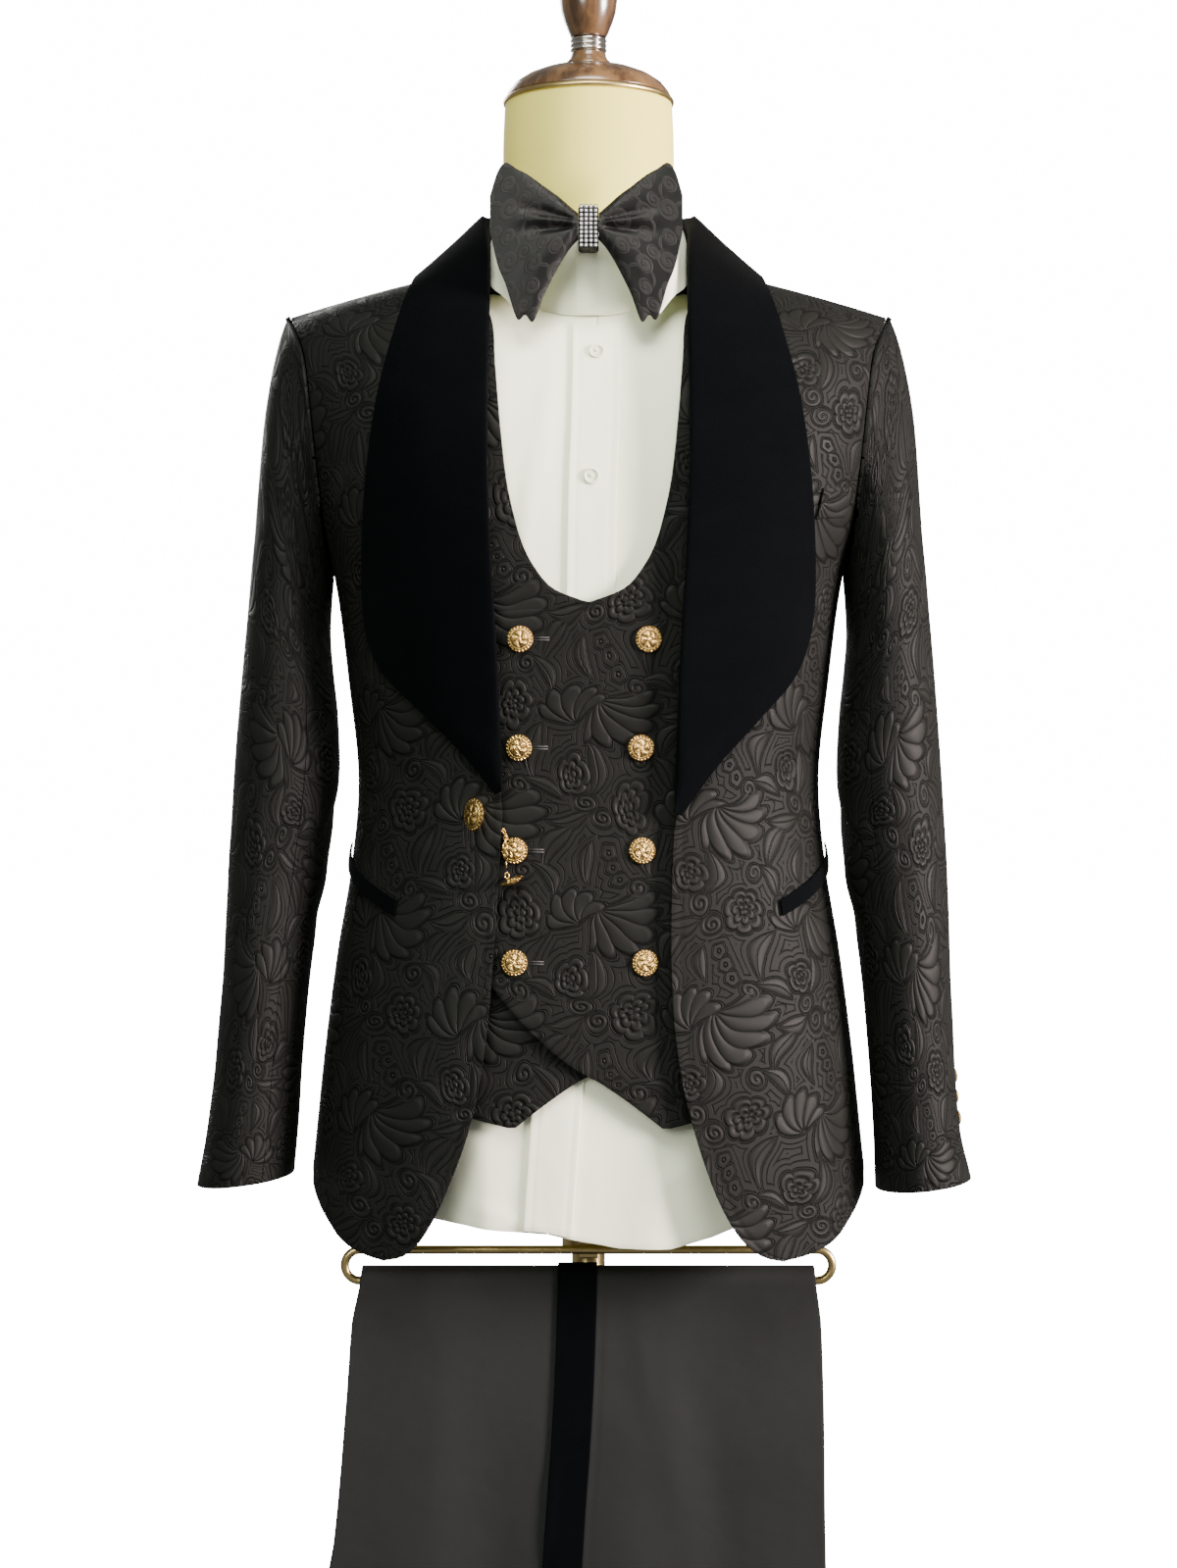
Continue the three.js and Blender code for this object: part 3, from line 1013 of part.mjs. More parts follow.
trouserPanel("trouser_leg_back_panel", edge("backEdge"), edge("stripe", -SEAM / 2), LEG_TOP, HEM_ALONG,
  ACROSS,
  OUTER, CLOTH.trousers, "wool");
trouserPanel("trouser_stripe", edge("stripe", -STRIPE_HALF), edge("stripe", STRIPE_HALF), LEG_TOP,
  HEM_ALONG - 1, 1,
  OUTER + WELT_GAP + 1, 1, "velvet");
const waistband = { top: -545, bottom: -505, out: 0.6, thick: 2 };
trouserPanel("trouser_waistband", edge("backEdge"), edge("frontEdge"), waistband.top, waistband.bottom,
  2 * ACROSS,
  OUTER + waistband.out, waistband.thick, "wool");

// The other leg and the inner layers share one solid whose edges show the three folds beneath.
{
  const lobes = 3;
  const lobe = HIDDEN_DEEP / lobes;
  const rounded = [{ inset: 1.4, level: 0.4 }];
  for (let k = 0; k < lobes; k += 1) {
    rounded.push({ inset: k * 0.8, level: (k + 0.55) * lobe },
      { inset: 1.6 + k * 0.8, level: (k + 0.95) * lobe });
  }
  const rings = alongSteps(-543, 516).map((along) => {
    const [low, middle, high] = ["backEdge", "stripe", "frontEdge"].map((column) => edge(column)(along));
    const shares = steps(ACROSS);
    const columns = [...shares.slice(1).map((t) => lerp(low, middle, t)),
      ...shares.slice(1, -1).map((t) => lerp(middle, high, t))];
    const at = (x, level) => drapePoint(along, x, TRIM_GAP + level);
    return [
      ...rounded.map((e) => at(high - e.inset, e.level)),
      ...columns.slice().reverse().map((x) => at(x, HIDDEN_DEEP)),
      ...rounded.slice().reverse().map((e) => at(low + e.inset, e.level)),
      ...columns.map((x) => at(x, 0)),
    ];
  });
  add("trouser_under_layers", solidThrough(rings), "wool");
}

// The form: a smooth limbless torso with its neck, a wooden cap and a turned finial.
const neckRings = [
  { height: 1380, half: 52, deep: 50, middle: 4 },
  { height: 1425, half: 60, deep: 58, middle: 4 },
  { height: 1452, half: 64, deep: 62, middle: 3.5 },
  { height: 1500, half: 64, deep: 63, middle: 3 },
  { height: 1550, half: 64.5, deep: 64, middle: 2 },
  { height: 1586, half: 62.5, deep: 62.5, middle: 0 },
];
{
  const sides = 24;
  const rows = [1.8, 2.8, 4, 5.4, 6.8, 8.2, 9.6, 10.8, 12, 13, 14, SHOULDER];
  const rings = rows.map((row) => Array.from({ length: sides },
    (_, i) => bodyPoint(FORM, (i * 360) / sides, row)));
  const torso = solidThrough(rings.map((ring) => ring.map((p) => p.clone())));
  const neck = solidThrough(neckRings.map((n) => Array.from({ length: sides }, (_, i) => {
    const turn = rad((i * 360) / sides);
    return new THREE.Vector3(n.half * Math.sin(turn), n.middle - n.deep * Math.cos(turn), n.height);
  })));
  add("dress_form", joined(torso, neck), "linen");
}
function turned(name, points, material, sides = 20) {
  const mesh = add(name, new THREE.LatheGeometry(points.map(([r, z]) => new THREE.Vector2(r, z)), sides),
    material);
  mesh.rotation.x = Math.PI / 2;
}
turned("neck_cap", [[0, 1586.4], [63.5, 1586.4], [64.2, 1589], [61.5, 1595], [52, 1605], [38, 1611.5],
  [19, 1614.6],
  [0, 1614.6]], "walnut");
turned("finial_foot", [[0, 1615], [18, 1615], [17.4, 1618], [14, 1623], [13, 1626], [0, 1626]], "walnut");
turned("finial_rings",
  [[0, 1626.4], [13.4, 1626.4], [13.8, 1628], [12.4, 1629.6], [13.8, 1631.4], [12.4, 1633.2],
  [13.8, 1635], [13.2, 1637.6], [0, 1637.6]], "steel");
turned("finial_knob",
  [[0, 1638], [13.4, 1638], [16.5, 1645], [20.4, 1656], [21.8, 1667], [20.6, 1677], [16, 1687],
  [8, 1693], [0, 1694.5]], "walnut");

// The stand: a round base, a pole, and a bent bar for the trousers on a bracket.
turned("base", [[0, 0], [190, 0], [192, 3], [190, 7], [60, 13], [30, 16], [26, 24], [0, 24]], "brass", 32);
turned("pole", [[0, 24.4], [12.5, 24.4], [12.5, 807.4], [0, 807.4]], "brass", 20);

{
  const radius = bar.rise / 2;
  const straight = bar.end - radius;
  const bends = [[straight, -90], [-straight, 90]].flatMap(([x, from]) =>
    between(0, 180, 8, (turn) => ({ x, turn: rad(from + turn) })));
  const sides = 8;
  const positions = [];
  const index = [];
  for (const { x, turn } of bends) {
    for (let i = 0; i < sides; i += 1) {
      const around = rad((i * 360) / sides);
      const reach = radius + bar.rod * Math.cos(around);
      positions.push(x + reach * Math.cos(turn), bar.y + bar.rod * Math.sin(around),
        bar.z + radius + reach * Math.sin(turn));
    }
  }
  bends.forEach((_, j) => {
    const next = (j + 1) % bends.length;
    for (let i = 0; i < sides; i += 1) {
      const k = (i + 1) % sides;
      index.push(j * sides + i, next * sides + i, next * sides + k, j * sides + i, next * sides + k,
        j * sides + k);
    }
  });
  add("trouser_bar", facingOut(positions, index), "brass");
}
{
  const bracket = new THREE.Shape();
  const [arm, outside] = [7, 20];
  const reach = -bar.y - bar.rod - TRIM_GAP;
  const corner = Math.asin(arm / outside);
  bracket.absarc(0, 0, outside, -Math.PI / 2 + corner, (3 * Math.PI) / 2 - corner, false);
  bracket.lineTo(-arm, -reach).lineTo(arm, -reach).closePath();
  bracket.holes.push(new THREE.Path().absarc(0, 0, 12.9, 0, 2 * Math.PI, true));
  const clamped = new THREE.ExtrudeGeometry(bracket,
    { depth: 2 * arm, bevelEnabled: false, curveSegments: 12 });
  add("bar_bracket", clamped, "brass").position.z = bar.z + bar.rise - arm;
}

export default tuxedo;
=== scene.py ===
"""A tuxedo on a limbless dress form: its cloth, trims, buttons and stand, in the frame's metres."""

import math

import bmesh
import bpy
import numpy as np
from mathutils import Matrix, Vector


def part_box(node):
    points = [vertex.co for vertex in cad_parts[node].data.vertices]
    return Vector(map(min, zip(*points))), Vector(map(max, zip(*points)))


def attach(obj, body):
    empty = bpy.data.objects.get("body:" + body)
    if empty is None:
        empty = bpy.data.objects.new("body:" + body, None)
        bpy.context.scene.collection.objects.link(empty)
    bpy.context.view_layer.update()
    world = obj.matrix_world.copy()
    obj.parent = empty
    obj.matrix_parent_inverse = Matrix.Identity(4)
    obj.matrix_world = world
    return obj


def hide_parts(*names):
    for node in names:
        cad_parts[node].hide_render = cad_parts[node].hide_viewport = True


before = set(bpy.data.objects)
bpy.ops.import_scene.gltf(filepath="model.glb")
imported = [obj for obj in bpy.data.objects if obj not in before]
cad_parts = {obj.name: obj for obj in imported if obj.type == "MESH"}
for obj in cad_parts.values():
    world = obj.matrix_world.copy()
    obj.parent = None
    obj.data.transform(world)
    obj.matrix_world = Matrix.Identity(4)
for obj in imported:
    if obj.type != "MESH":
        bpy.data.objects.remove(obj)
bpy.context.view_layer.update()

# Camera. It stands level in front of the suit at waist height and takes an upright picture.
CAMERA_AWAY, CAMERA_HIGH = 2.150, 1.075
VIEW_TALL = 1599 * 0.00074
camera = bpy.data.objects.new("camera", bpy.data.cameras.new("camera"))
camera.data.sensor_fit = "AUTO"
camera.data.sensor_width = 36
camera.data.lens = 36 * CAMERA_AWAY / VIEW_TALL
camera.location = (0, -CAMERA_AWAY, CAMERA_HIGH)
camera.rotation_euler = (math.pi / 2, 0, 0)
bpy.context.scene.collection.objects.link(camera)
bpy.context.scene.camera = camera


# Studio. A wide soft light in front on the right, weaker ones on the left, overhead and behind, white paper.
def soft_light(name, place, aim, size, watts, colour):
    light = bpy.data.objects.new(name, bpy.data.lights.new(name, "AREA"))
    light.data.shape = "DISK"
    light.data.size = size
    light.data.energy = watts
    light.data.color = colour
    light.location = place
    light.rotation_euler = (Vector(aim) - Vector(place)).to_track_quat("-Z", "Y").to_euler()
    bpy.context.scene.collection.objects.link(light)


soft_light("window_light", (3.0, -1.35, 1.6), (0, 0, 1.1), 1.1, 540, (1.0, 0.86, 0.85))
soft_light("room_light", (-1.3, -3.0, 2.1), (0, 0, 1.1), 1.4, 62, (0.95, 1.0, 0.9))
soft_light("ceiling_light", (0.1, -1.7, 3.2), (0, 0, 1.2), 1.4, 105, (0.99, 1.0, 0.92))
soft_light("rear_light", (-1.3, 2.9, 2.3), (0, 0, 1.1), 1.8, 70, (1.0, 1.0, 0.97))
PAPER_WHITE = 20
world = bpy.data.worlds.new("studio")
world.use_nodes = True
sky = world.node_tree
seen_sky = sky.nodes.new("ShaderNodeBackground")
seen_sky.inputs["Strength"].default_value = PAPER_WHITE
sky.nodes["Background"].inputs["Color"].default_value = (0.94, 0.96, 0.93, 1)
sky.nodes["Background"].inputs["Strength"].default_value = 0.28
ray = sky.nodes.new("ShaderNodeLightPath")
either = sky.nodes.new("ShaderNodeMixShader")
sky.links.new(ray.outputs["Is Camera Ray"], either.inputs[0])
sky.links.new(sky.nodes["Background"].outputs[0], either.inputs[1])
sky.links.new(seen_sky.outputs[0], either.inputs[2])
sky.links.new(either.outputs[0], sky.nodes["World Output"].inputs["Surface"])
bpy.context.scene.world = world


def as_piece(name, mesh, material, *nodes, slot, round_faces=True):
    """Makes an object of a bmesh with its material and hides the solids it stands for. Its slot is not used.
    """
    for face in mesh.faces:
        face.smooth = round_faces
    data = bpy.data.meshes.new(name)
    mesh.to_mesh(data)
    mesh.free()
    piece = bpy.data.objects.new(name, data)
    bpy.context.scene.collection.objects.link(piece)
    data.materials.append(material)
    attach(piece, "root")
    if nodes:
        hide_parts(*nodes)
    return piece


def finish_edges(piece, width):
    """Rounds a piece's sharp edges."""
    bevel = piece.modifiers.new("edges", "BEVEL")
    bevel.width = width
    bevel.segments = 2
    bevel.limit_method = "ANGLE"
    bevel.angle_limit = math.radians(35)


class Wire:
    """A number that a node puts out. Sums with it add Math nodes to the same tree."""

    def __init__(self, tree, socket):
        self.tree = tree
        self.socket = socket

    def math(self, operation, *others, clamp=False):
        node = self.tree.nodes.new("ShaderNodeMath")
        node.operation = operation
        node.use_clamp = clamp
        for given, value in zip(node.inputs, (self, *others)):
            if isinstance(value, Wire):
                self.tree.links.new(value.socket, given)
            else:
                given.default_value = value
        return Wire(self.tree, node.outputs[0])

    def __add__(self, other):
        return self.math("ADD", other)

    __radd__ = __add__

    def __sub__(self, other):
        return self.math("SUBTRACT", other)

    def __rsub__(self, other):
        return (self * -1) + other

    def __mul__(self, other):
        return self.math("MULTIPLY", other)

    def __truediv__(self, other):
        return self.math("DIVIDE", other)

    def power(self, other):
        return self.math("POWER", other)

    def higher(self, other):
        return self.math("MAXIMUM", other)

    def lower(self, other):
        return self.math("MINIMUM", other)

    def size(self):
        return self.math("ABSOLUTE")

    def sine(self):
        return self.math("SINE")

    def held(self):
        """The number kept from 0 to 1."""
        return self.math("ADD", 0, clamp=True)

    def rise(self, start, end):
        """0 below start and 1 above end, with a soft step between."""
        step = ((self - start) / (end - start)).held()
        return step * step * (step * -2 + 3)

    def hump(self, centre, reach):
        """1 at the centre, falling softly to 0 at reach on both sides."""
        return (1 - ((self - centre) / reach).power(2)).held()


def new_group(name, inputs, outputs):
    """An empty node group with named number or vector inputs, and its wires."""
    tree = bpy.data.node_groups.new(name, "ShaderNodeTree")
    for label, value in inputs.items():
        kind = "NodeSocketVector" if value is None else "NodeSocketFloat"
        socket = tree.interface.new_socket(name=label, in_out="INPUT", socket_type=kind)
        if value is not None:
            socket.default_value = value
    for label in outputs:
        tree.interface.new_socket(name=label, in_out="OUTPUT", socket_type="NodeSocketFloat")
    entry = tree.nodes.new("NodeGroupInput")
    leave = tree.nodes.new("NodeGroupOutput")
    return tree, {s.name: Wire(tree, s) for s in entry.outputs if s.name}, leave


def place_group(tree, group, **inputs):
    """Puts a group in a tree and gives its outputs as wires."""
    node = tree.nodes.new("ShaderNodeGroup")
    node.node_tree = group
    for label, value in inputs.items():
        given = node.inputs[label.replace("_", " ")]
        if isinstance(value, Wire):
            tree.links.new(value.socket, given)
        else:
            given.default_value = value
    return {s.name: Wire(tree, s) for s in node.outputs}


def parts_of(vector):
    """The x and y of a vector wire."""
    node = vector.tree.nodes.new("ShaderNodeSeparateXYZ")
    vector.tree.links.new(vector.socket, node.inputs[0])
    return Wire(vector.tree, node.outputs[0]), Wire(vector.tree, node.outputs[1])


def noise(tree, vector, scale, detail=3.0, roughness=0.55, stretch=(1, 1, 1)):
    """Soft noise from 0 to 1 on a stretched vector."""
    mapping = tree.nodes.new("ShaderNodeMapping")
    mapping.inputs["Scale"].default_value = stretch
    tree.links.new(vector.socket, mapping.inputs["Vector"])
    node = tree.nodes.new("ShaderNodeTexNoise")
    node.inputs["Scale"].default_value = scale
    node.inputs["Detail"].default_value = detail
    node.inputs["Roughness"].default_value = roughness
    tree.links.new(mapping.outputs[0], node.inputs["Vector"])
    return Wire(tree, node.outputs[0])


def new_material(name, colour, roughness, metallic=0.0, on="UV", **constants):
    """A material with one Principled shader, its tree, its shader and a wire of the places on it."""
    material = bpy.data.materials.new(name)
    material.use_nodes = True
    tree = material.node_tree
    shader = tree.nodes["Principled BSDF"]
    shader.inputs["Base Color"].default_value = (*colour, 1)
    shader.inputs["Roughness"].default_value = roughness
    shader.inputs["Metallic"].default_value = metallic
    for label, value in constants.items():
        shader.inputs[label.replace("_", " ")].default_value = value
    return material, tree, shader, Wire(tree, tree.nodes.new("ShaderNodeTexCoord").outputs[on])


def colour_between(tree, shader, amount, low, high):
    """Feeds the shader a colour that goes from low to high with a wire."""
    mix = tree.nodes.new("ShaderNodeMix")
    mix.data_type = "RGBA"
    mix.inputs[6].default_value = (*low, 1)
    mix.inputs[7].default_value = (*high, 1)
    tree.links.new(amount.socket, mix.inputs["Factor"])
    tree.links.new(mix.outputs[2], shader.inputs["Base Color"])


def raise_surface(tree, shader, height, distance, strength=1.0):
    """Feeds the shader a bump of a wire's height."""
    bump = tree.nodes.new("ShaderNodeBump")
    bump.inputs["Distance"].default_value = distance
    bump.inputs["Strength"].default_value = strength
    tree.links.new(height.socket, bump.inputs["Height"])
    tree.links.new(bump.outputs[0], shader.inputs["Normal"])


# Stand. A round weighted base, a pole, a bracket and a bent rod for the trousers, all of satin brass.
def brass_finish():
    material, tree, shader, spot = new_material("stand_brass", (0.5, 0.37, 0.15), 0.32, 1.0, on="Object")
    wear = noise(tree, spot, 60, 5)
    colour_between(tree, shader, wear, (0.42, 0.30, 0.11), (0.62, 0.48, 0.22))
    tree.links.new((wear * 0.25 + 0.2).socket, shader.inputs["Roughness"])
    raise_surface(tree, shader, noise(tree, spot, 400, 2, stretch=(1, 1, 0.1)), 0.00004)
    return material


brass = brass_finish()


def spun(outline, turns, radius=1.0, high=1.0):
    """A mesh turned round the upright axis, its outline in shares of two sizes in millimetres."""
    mesh = bmesh.new()
    corners = [mesh.verts.new((r * radius / 1000, 0, h * high / 1000)) for r, h in outline]
    edges = [mesh.edges.new(pair) for pair in zip(corners, corners[1:])]
    bmesh.ops.spin(mesh, geom=corners + edges, cent=(0, 0, 0), axis=(0, 0, 1), angle=math.tau, steps=turns,
                   use_merge=True)
    bmesh.ops.remove_doubles(mesh, verts=mesh.verts, dist=1e-6)
    bmesh.ops.recalc_face_normals(mesh, faces=mesh.faces)
    return mesh


def turned(name, outline, material, *nodes, slot, soft=0.0006, turns=64):
    """A piece turned round the upright axis from an outline of radius and height in millimetres."""
    piece = as_piece(name, spun(outline, turns), material, *nodes, slot=slot)
    if soft:
        finish_edges(piece, soft)


turned("stand_base", [(0, 0), (188, 0), (191, 1), (192, 3.5), (190, 7), (150, 9), (60, 13), (34, 15.5),
                      (29, 18), (26, 24), (0, 24)], brass, "base", slot="brass", turns=96)
turned("stand_pole", [(0, 24.4), (12.5, 24.4), (12.5, 420), (12.5, 807.4), (0, 807.4)], brass, "pole",
       slot="brass")

ROD = {"y": -45, "z": 708, "radius": 3.2, "rise": 23, "end": 180}


def bent_bar():
    """The rod runs out to both sides, turns up at each end and comes back above: one closed loop."""
    mesh = bmesh.new()
    bend = ROD["rise"] / 2
    straight = ROD["end"] - bend
    start = Matrix.Translation((-straight / 1000, ROD["y"] / 1000, ROD["z"] / 1000))
    bmesh.ops.create_circle(mesh, segments=16, radius=ROD["radius"] / 1000,
                            matrix=start @ Matrix.Rotation(math.pi / 2, 4, "Y"))
    moved = mesh.edges[:]
    for side in (1, -1):
        out = bmesh.ops.extrude_edge_only(mesh, edges=moved)["geom"]
        ends = [v for v in out if isinstance(v, bmesh.types.BMVert)]
        bmesh.ops.translate(mesh, verts=ends, vec=(side * 2 * straight / 1000, 0, 0))
        edges = [e for e in out if isinstance(e, bmesh.types.BMEdge)]
        centre = (side * straight / 1000, ROD["y"] / 1000, (ROD["z"] + bend) / 1000)
        turn = bmesh.ops.spin(mesh, geom=ends + edges, cent=centre, axis=(0, -1, 0), angle=math.pi, steps=16)
        moved = [e for e in turn["geom_last"] if isinstance(e, bmesh.types.BMEdge)]
    bmesh.ops.remove_doubles(mesh, verts=mesh.verts, dist=1e-5)
    bmesh.ops.recalc_face_normals(mesh, faces=mesh.faces)
    as_piece("trouser_rod", mesh, brass, "trouser_bar", slot="brass")


bent_bar()


# Dress form. A limbless torso, padded and covered with cream linen, its neck standing up out of the collar.
def table(columns, *rows):
    return {name: np.array(column, float) for name, column in zip(columns.split(), zip(*rows))}


FIGURE = table("height half front back middle fall square",
               (700, 158, 92, 98, 0, 0, 0.85), (760, 163, 98, 104, 0, 0, 0.85),
               (820, 168, 103, 108, 0, 0, 0.85), (880, 169, 104, 108, 0, 0, 0.85),
               (950, 163, 100, 100, 0, 0, 0.85), (1015, 153, 94, 89, 0, 0, 0.85),
               (1080, 149, 91, 83, 0, 0, 0.85), (1150, 157, 95, 89, 0, 0, 0.85),
               (1225, 167, 100, 96, 0, 0, 0.85), (1278, 180, 100, 98, 0, 3, 0.82),
               (1325, 189, 96, 96, 1, 8, 0.76), (1370, 195, 87, 91, 3, 16, 0.7),
               (1408, 198, 70, 81, 5, 31, 0.66), (1434, 200, 49, 62, 7, 45, 0.56),
               (1447, 201, 26, 40, 8, 51, 0.5), (1453, 201, 0, 0, 8, 48, 0.5))
JACKET_CUT = table("height half front back",
                   (700, 215, 134, 132), (760, 212, 133, 131), (820, 206, 131, 130), (880, 199, 128, 127),
                   (950, 189, 123, 119), (1015, 178, 117, 109), (1080, 173, 114, 104), (1150, 180, 118, 110),
                   (1225, 190, 122, 117), (1280, 204, 122, 120), (1330, 213, 118, 118),
                   (1378, 219, 109, 113), (1421, 222, 92, 103), (1451, 224, 70, 87), (1468, 225, 44, 66),
                   (1476, 225, 0, 0))
FORM, SHIRT, WAISTCOAT, JACKET = -0.18, 0.14, 0.62, 1
UNDERARM, ARMHOLE_SEAM, SHOULDER = 8, 9, 15


def curve_between(b, c, before, after, t):
    """A smooth curve from b to c that starts and ends with the slopes before and after."""
    return b + before * t + (3 * (c - b) - 2 * before - after) * t**2 + (2 * (b - c) + before + after) * t**3


def read(column, at):
    """Reads a table's column at row numbers that may lie between two rows, along a smooth curve."""
    at = np.asarray(at, float)
    last = len(column) - 1
    i = np.clip(np.floor(at).astype(int), 0, last - 1)
    t = at - i
    b, c = column[i], column[i + 1]
    before = np.where(i == 0, c - b, (c - column[np.maximum(i - 1, 0)]) / 2)
    after = np.where(i == last - 1, c - b, (column[np.minimum(i + 2, last)] - b) / 2)
    return curve_between(b, c, before, after, t)


def read_at(key, column, value):
    """Reads a column where another column, which only rises, has a value."""
    i = np.clip(np.searchsorted(key, value) - 1, 0, len(key) - 2)
    return read(column, i + np.clip((value - key[i]) / (key[i + 1] - key[i]), 0, 1))


def mix(a, b, share):
    return a + (b - a) * share


def soft(t):
    return t * t * (3 - 2 * t)


def mound(value, centre, reach):
    return np.exp(-(((value - centre) / reach) ** 2))


def upright_folds(angle, folds):
    """Folds that hang straight down: each one's middle angle, width and height."""
    return sum(deep * mound(angle, at, reach) for at, reach, deep in folds)


def slanting_folds(angle, row, folds, turned_at=0):
    """Folds that slant across a garment: each one's row, slant, reach, middle angle, width and height."""
    return sum(deep * mound(row - lean * (angle - turned_at), at, reach) * mound(angle, middle, wide)
               for at, lean, reach, middle, wide, deep in folds)


def section(share, row):
    """The level of a garment between the form (0) and the jacket (1) at a row of the tables."""
    found = {c: mix(read(FIGURE[c], row), read(JACKET_CUT[c], row), share) for c in JACKET_CUT}
    found.update({c: read(FIGURE[c], row) for c in ("middle", "fall", "square")})
    return found


def body_point(share, angle, row):
    """0 degrees is the middle of the front, 90 the wearer's left side and 180 the middle of the back."""
    s = section(share, row)
    sine, cosine = np.sin(np.radians(angle)), np.cos(np.radians(angle))
    across = np.abs(sine) ** s["square"]
    deep = np.where(cosine > 0, -np.maximum(s["front"], 0), np.maximum(s["back"], 0))
    return np.stack([np.sign(sine) * s["half"] * across,
                     s["middle"] + deep * np.abs(cosine) ** s["square"],
                     s["height"] - s["fall"] * across**1.5], -1)


def unit(vectors):
    return vectors / np.maximum(np.linalg.norm(vectors, axis=-1, keepdims=True), 1e-9)


def body_normal(share, angle, row):
    angle, row = np.broadcast_arrays(np.asarray(angle, float), np.asarray(row, float))
    level = np.minimum(row, SHOULDER - 0.02)

    def facing(turn):
        round_it = body_point(share, turn + 0.5, level) - body_point(share, turn - 0.5, level)
        up = body_point(share, turn, level + 0.01) - body_point(share, turn, level - 0.01)
        return unit(np.cross(round_it, up))

    near = np.clip(row - SHOULDER + 1, 0, 1)[..., None] / 2
    return unit(mix(facing(angle), facing(180 - angle), near))


def moved_out(share, angle, row, out):
    return body_point(share, angle, row) + body_normal(share, angle, row) * np.asarray(out, float)[..., None]


def row_of(share, x, height):
    low, high = np.zeros(np.shape(height)), np.full(np.shape(height), float(SHOULDER))
    for _ in range(30):
        row = (low + high) / 2
        s = section(share, row)
        below = s["height"] - s["fall"] * np.clip(np.abs(x) / s["half"], 0, 1) ** 1.5 < height
        low, high = np.where(below, row, low), np.where(below, high, row)
    return (low + high) / 2


def angle_of(share, x, row):
    s = section(share, row)
    return np.degrees(np.sign(x) * np.arcsin(np.clip(np.abs(x) / s["half"], 0, 1) ** (1 / s["square"])))


def place(share, x, height):
    """A place on a garment by its distance to the side and its height, as an angle and a row."""
    row = row_of(share, x, height)
    return float(angle_of(share, x, row)), float(row)


def through(places):
    """A cut line through places, at an even pace. Gives angle and row for a share of its length."""
    places = np.array(places, float)
    pace = np.r_[0, np.cumsum(np.hypot(*(np.diff(places, axis=0) * (2.4, 62)).T))]
    return lambda t: (np.interp(t, pace / pace[-1], places[:, 0]),
                      np.interp(t, pace / pace[-1], places[:, 1]))


def filled(inner, outer, hem, top):
    """Fills the map between four cut lines: hem and top run from inner to outer, which run upwards."""
    corners = [np.array(line(float(end))) for line in (hem, top) for end in (0, 1)]

    def at(u, v):
        sides = [mix(a, b, u) for a, b in zip(inner(v), outer(v))]
        ends = [mix(a, b, v) for a, b in zip(hem(u), top(u))]
        plain = [mix(mix(corners[0][k], corners[1][k], u), mix(corners[2][k], corners[3][k], u), v)
                 for k in (0, 1)]
        return [sides[k] + ends[k] - plain[k] for k in (0, 1)]

    return at


def linen_finish():
    material, tree, shader, spot = new_material("cover_linen", (0.7, 0.61, 0.13), 0.75, on="Object",
                                                Specular_IOR_Level=0.15)
    weave = noise(tree, spot, 900, 1, stretch=(1, 1, 0.12))
    weave = weave + noise(tree, spot, 900, 1, stretch=(0.12, 0.12, 1))
    colour_between(tree, shader, noise(tree, spot, 7, 4), (0.67, 0.58, 0.11), (0.74, 0.67, 0.18))
    raise_surface(tree, shader, weave, 0.00012, 0.6)
    return material


linen = linen_finish()


def grid_of(across, up):
    """A flat grid of faces, and the place of each corner in shares of its width and length."""
    mesh = bmesh.new()
    bmesh.ops.create_grid(mesh, x_segments=across, y_segments=up, size=0.5)
    return mesh, np.array([vert.co[:2] for vert in mesh.verts]) + 0.5


def move_to(mesh, points):
    """Moves a mesh's corners to points in millimetres."""
    for vert, point in zip(mesh.verts, points / 1000):
        vert.co = point


def wrapped(name, across, up, shape, material, *nodes, slot):
    """A closed skin round the upright axis, from a grid whose sides meet behind, with its ends filled."""
    mesh, spots = grid_of(across, up)
    move_to(mesh, shape(spots[:, 0], spots[:, 1]))
    bmesh.ops.remove_doubles(mesh, verts=mesh.verts, dist=2e-5)
    bmesh.ops.holes_fill(mesh, edges=[e for e in mesh.edges if e.is_boundary])
    bmesh.ops.recalc_face_normals(mesh, faces=mesh.faces)
    return as_piece(name, mesh, material, *nodes, slot=slot)


NECK = table("height half deep middle",
             (1380, 52, 50, 4), (1425, 60, 58, 4), (1452, 64, 62, 3.5), (1500, 64, 63, 3),
             (1550, 64.5, 64, 2), (1583, 63.2, 63, 0.4), (1586, 62.5, 62.5, 0))


def neck_point(u, v):
    at = v * (len(NECK["height"]) - 1)
    turn = math.tau * u
    half, deep, middle, height = (read(NECK[c], at) for c in ("half", "deep", "middle", "height"))
    return np.stack([half * np.sin(turn), middle - deep * np.cos(turn), height], -1)


FORM_LOWEST = 1.8
wrapped("form_torso", 96, 90, lambda u, v: body_point(FORM, 360 * u, mix(FORM_LOWEST, SHOULDER, v)), linen,
        "dress_form", slot="linen")
wrapped("form_neck", 96, 60, neck_point, linen, slot="linen")


# Cap and finial. Dark stained and polished wood, turned, with three polished steel rings below the knob.
def walnut_finish():
    material, tree, shader, spot = new_material("stained_walnut", (0.05, 0.028, 0.012), 0.25, on="Object",
                                                Coat_Weight=0.5, Coat_Roughness=0.12)
    grain = noise(tree, spot, 55, 6, 0.65, stretch=(1, 1, 0.16))
    colour_between(tree, shader, grain.rise(0.35, 0.68), (0.035, 0.017, 0.008), (0.14, 0.075, 0.03))
    raise_surface(tree, shader, grain, 0.00015, 0.5)
    return material


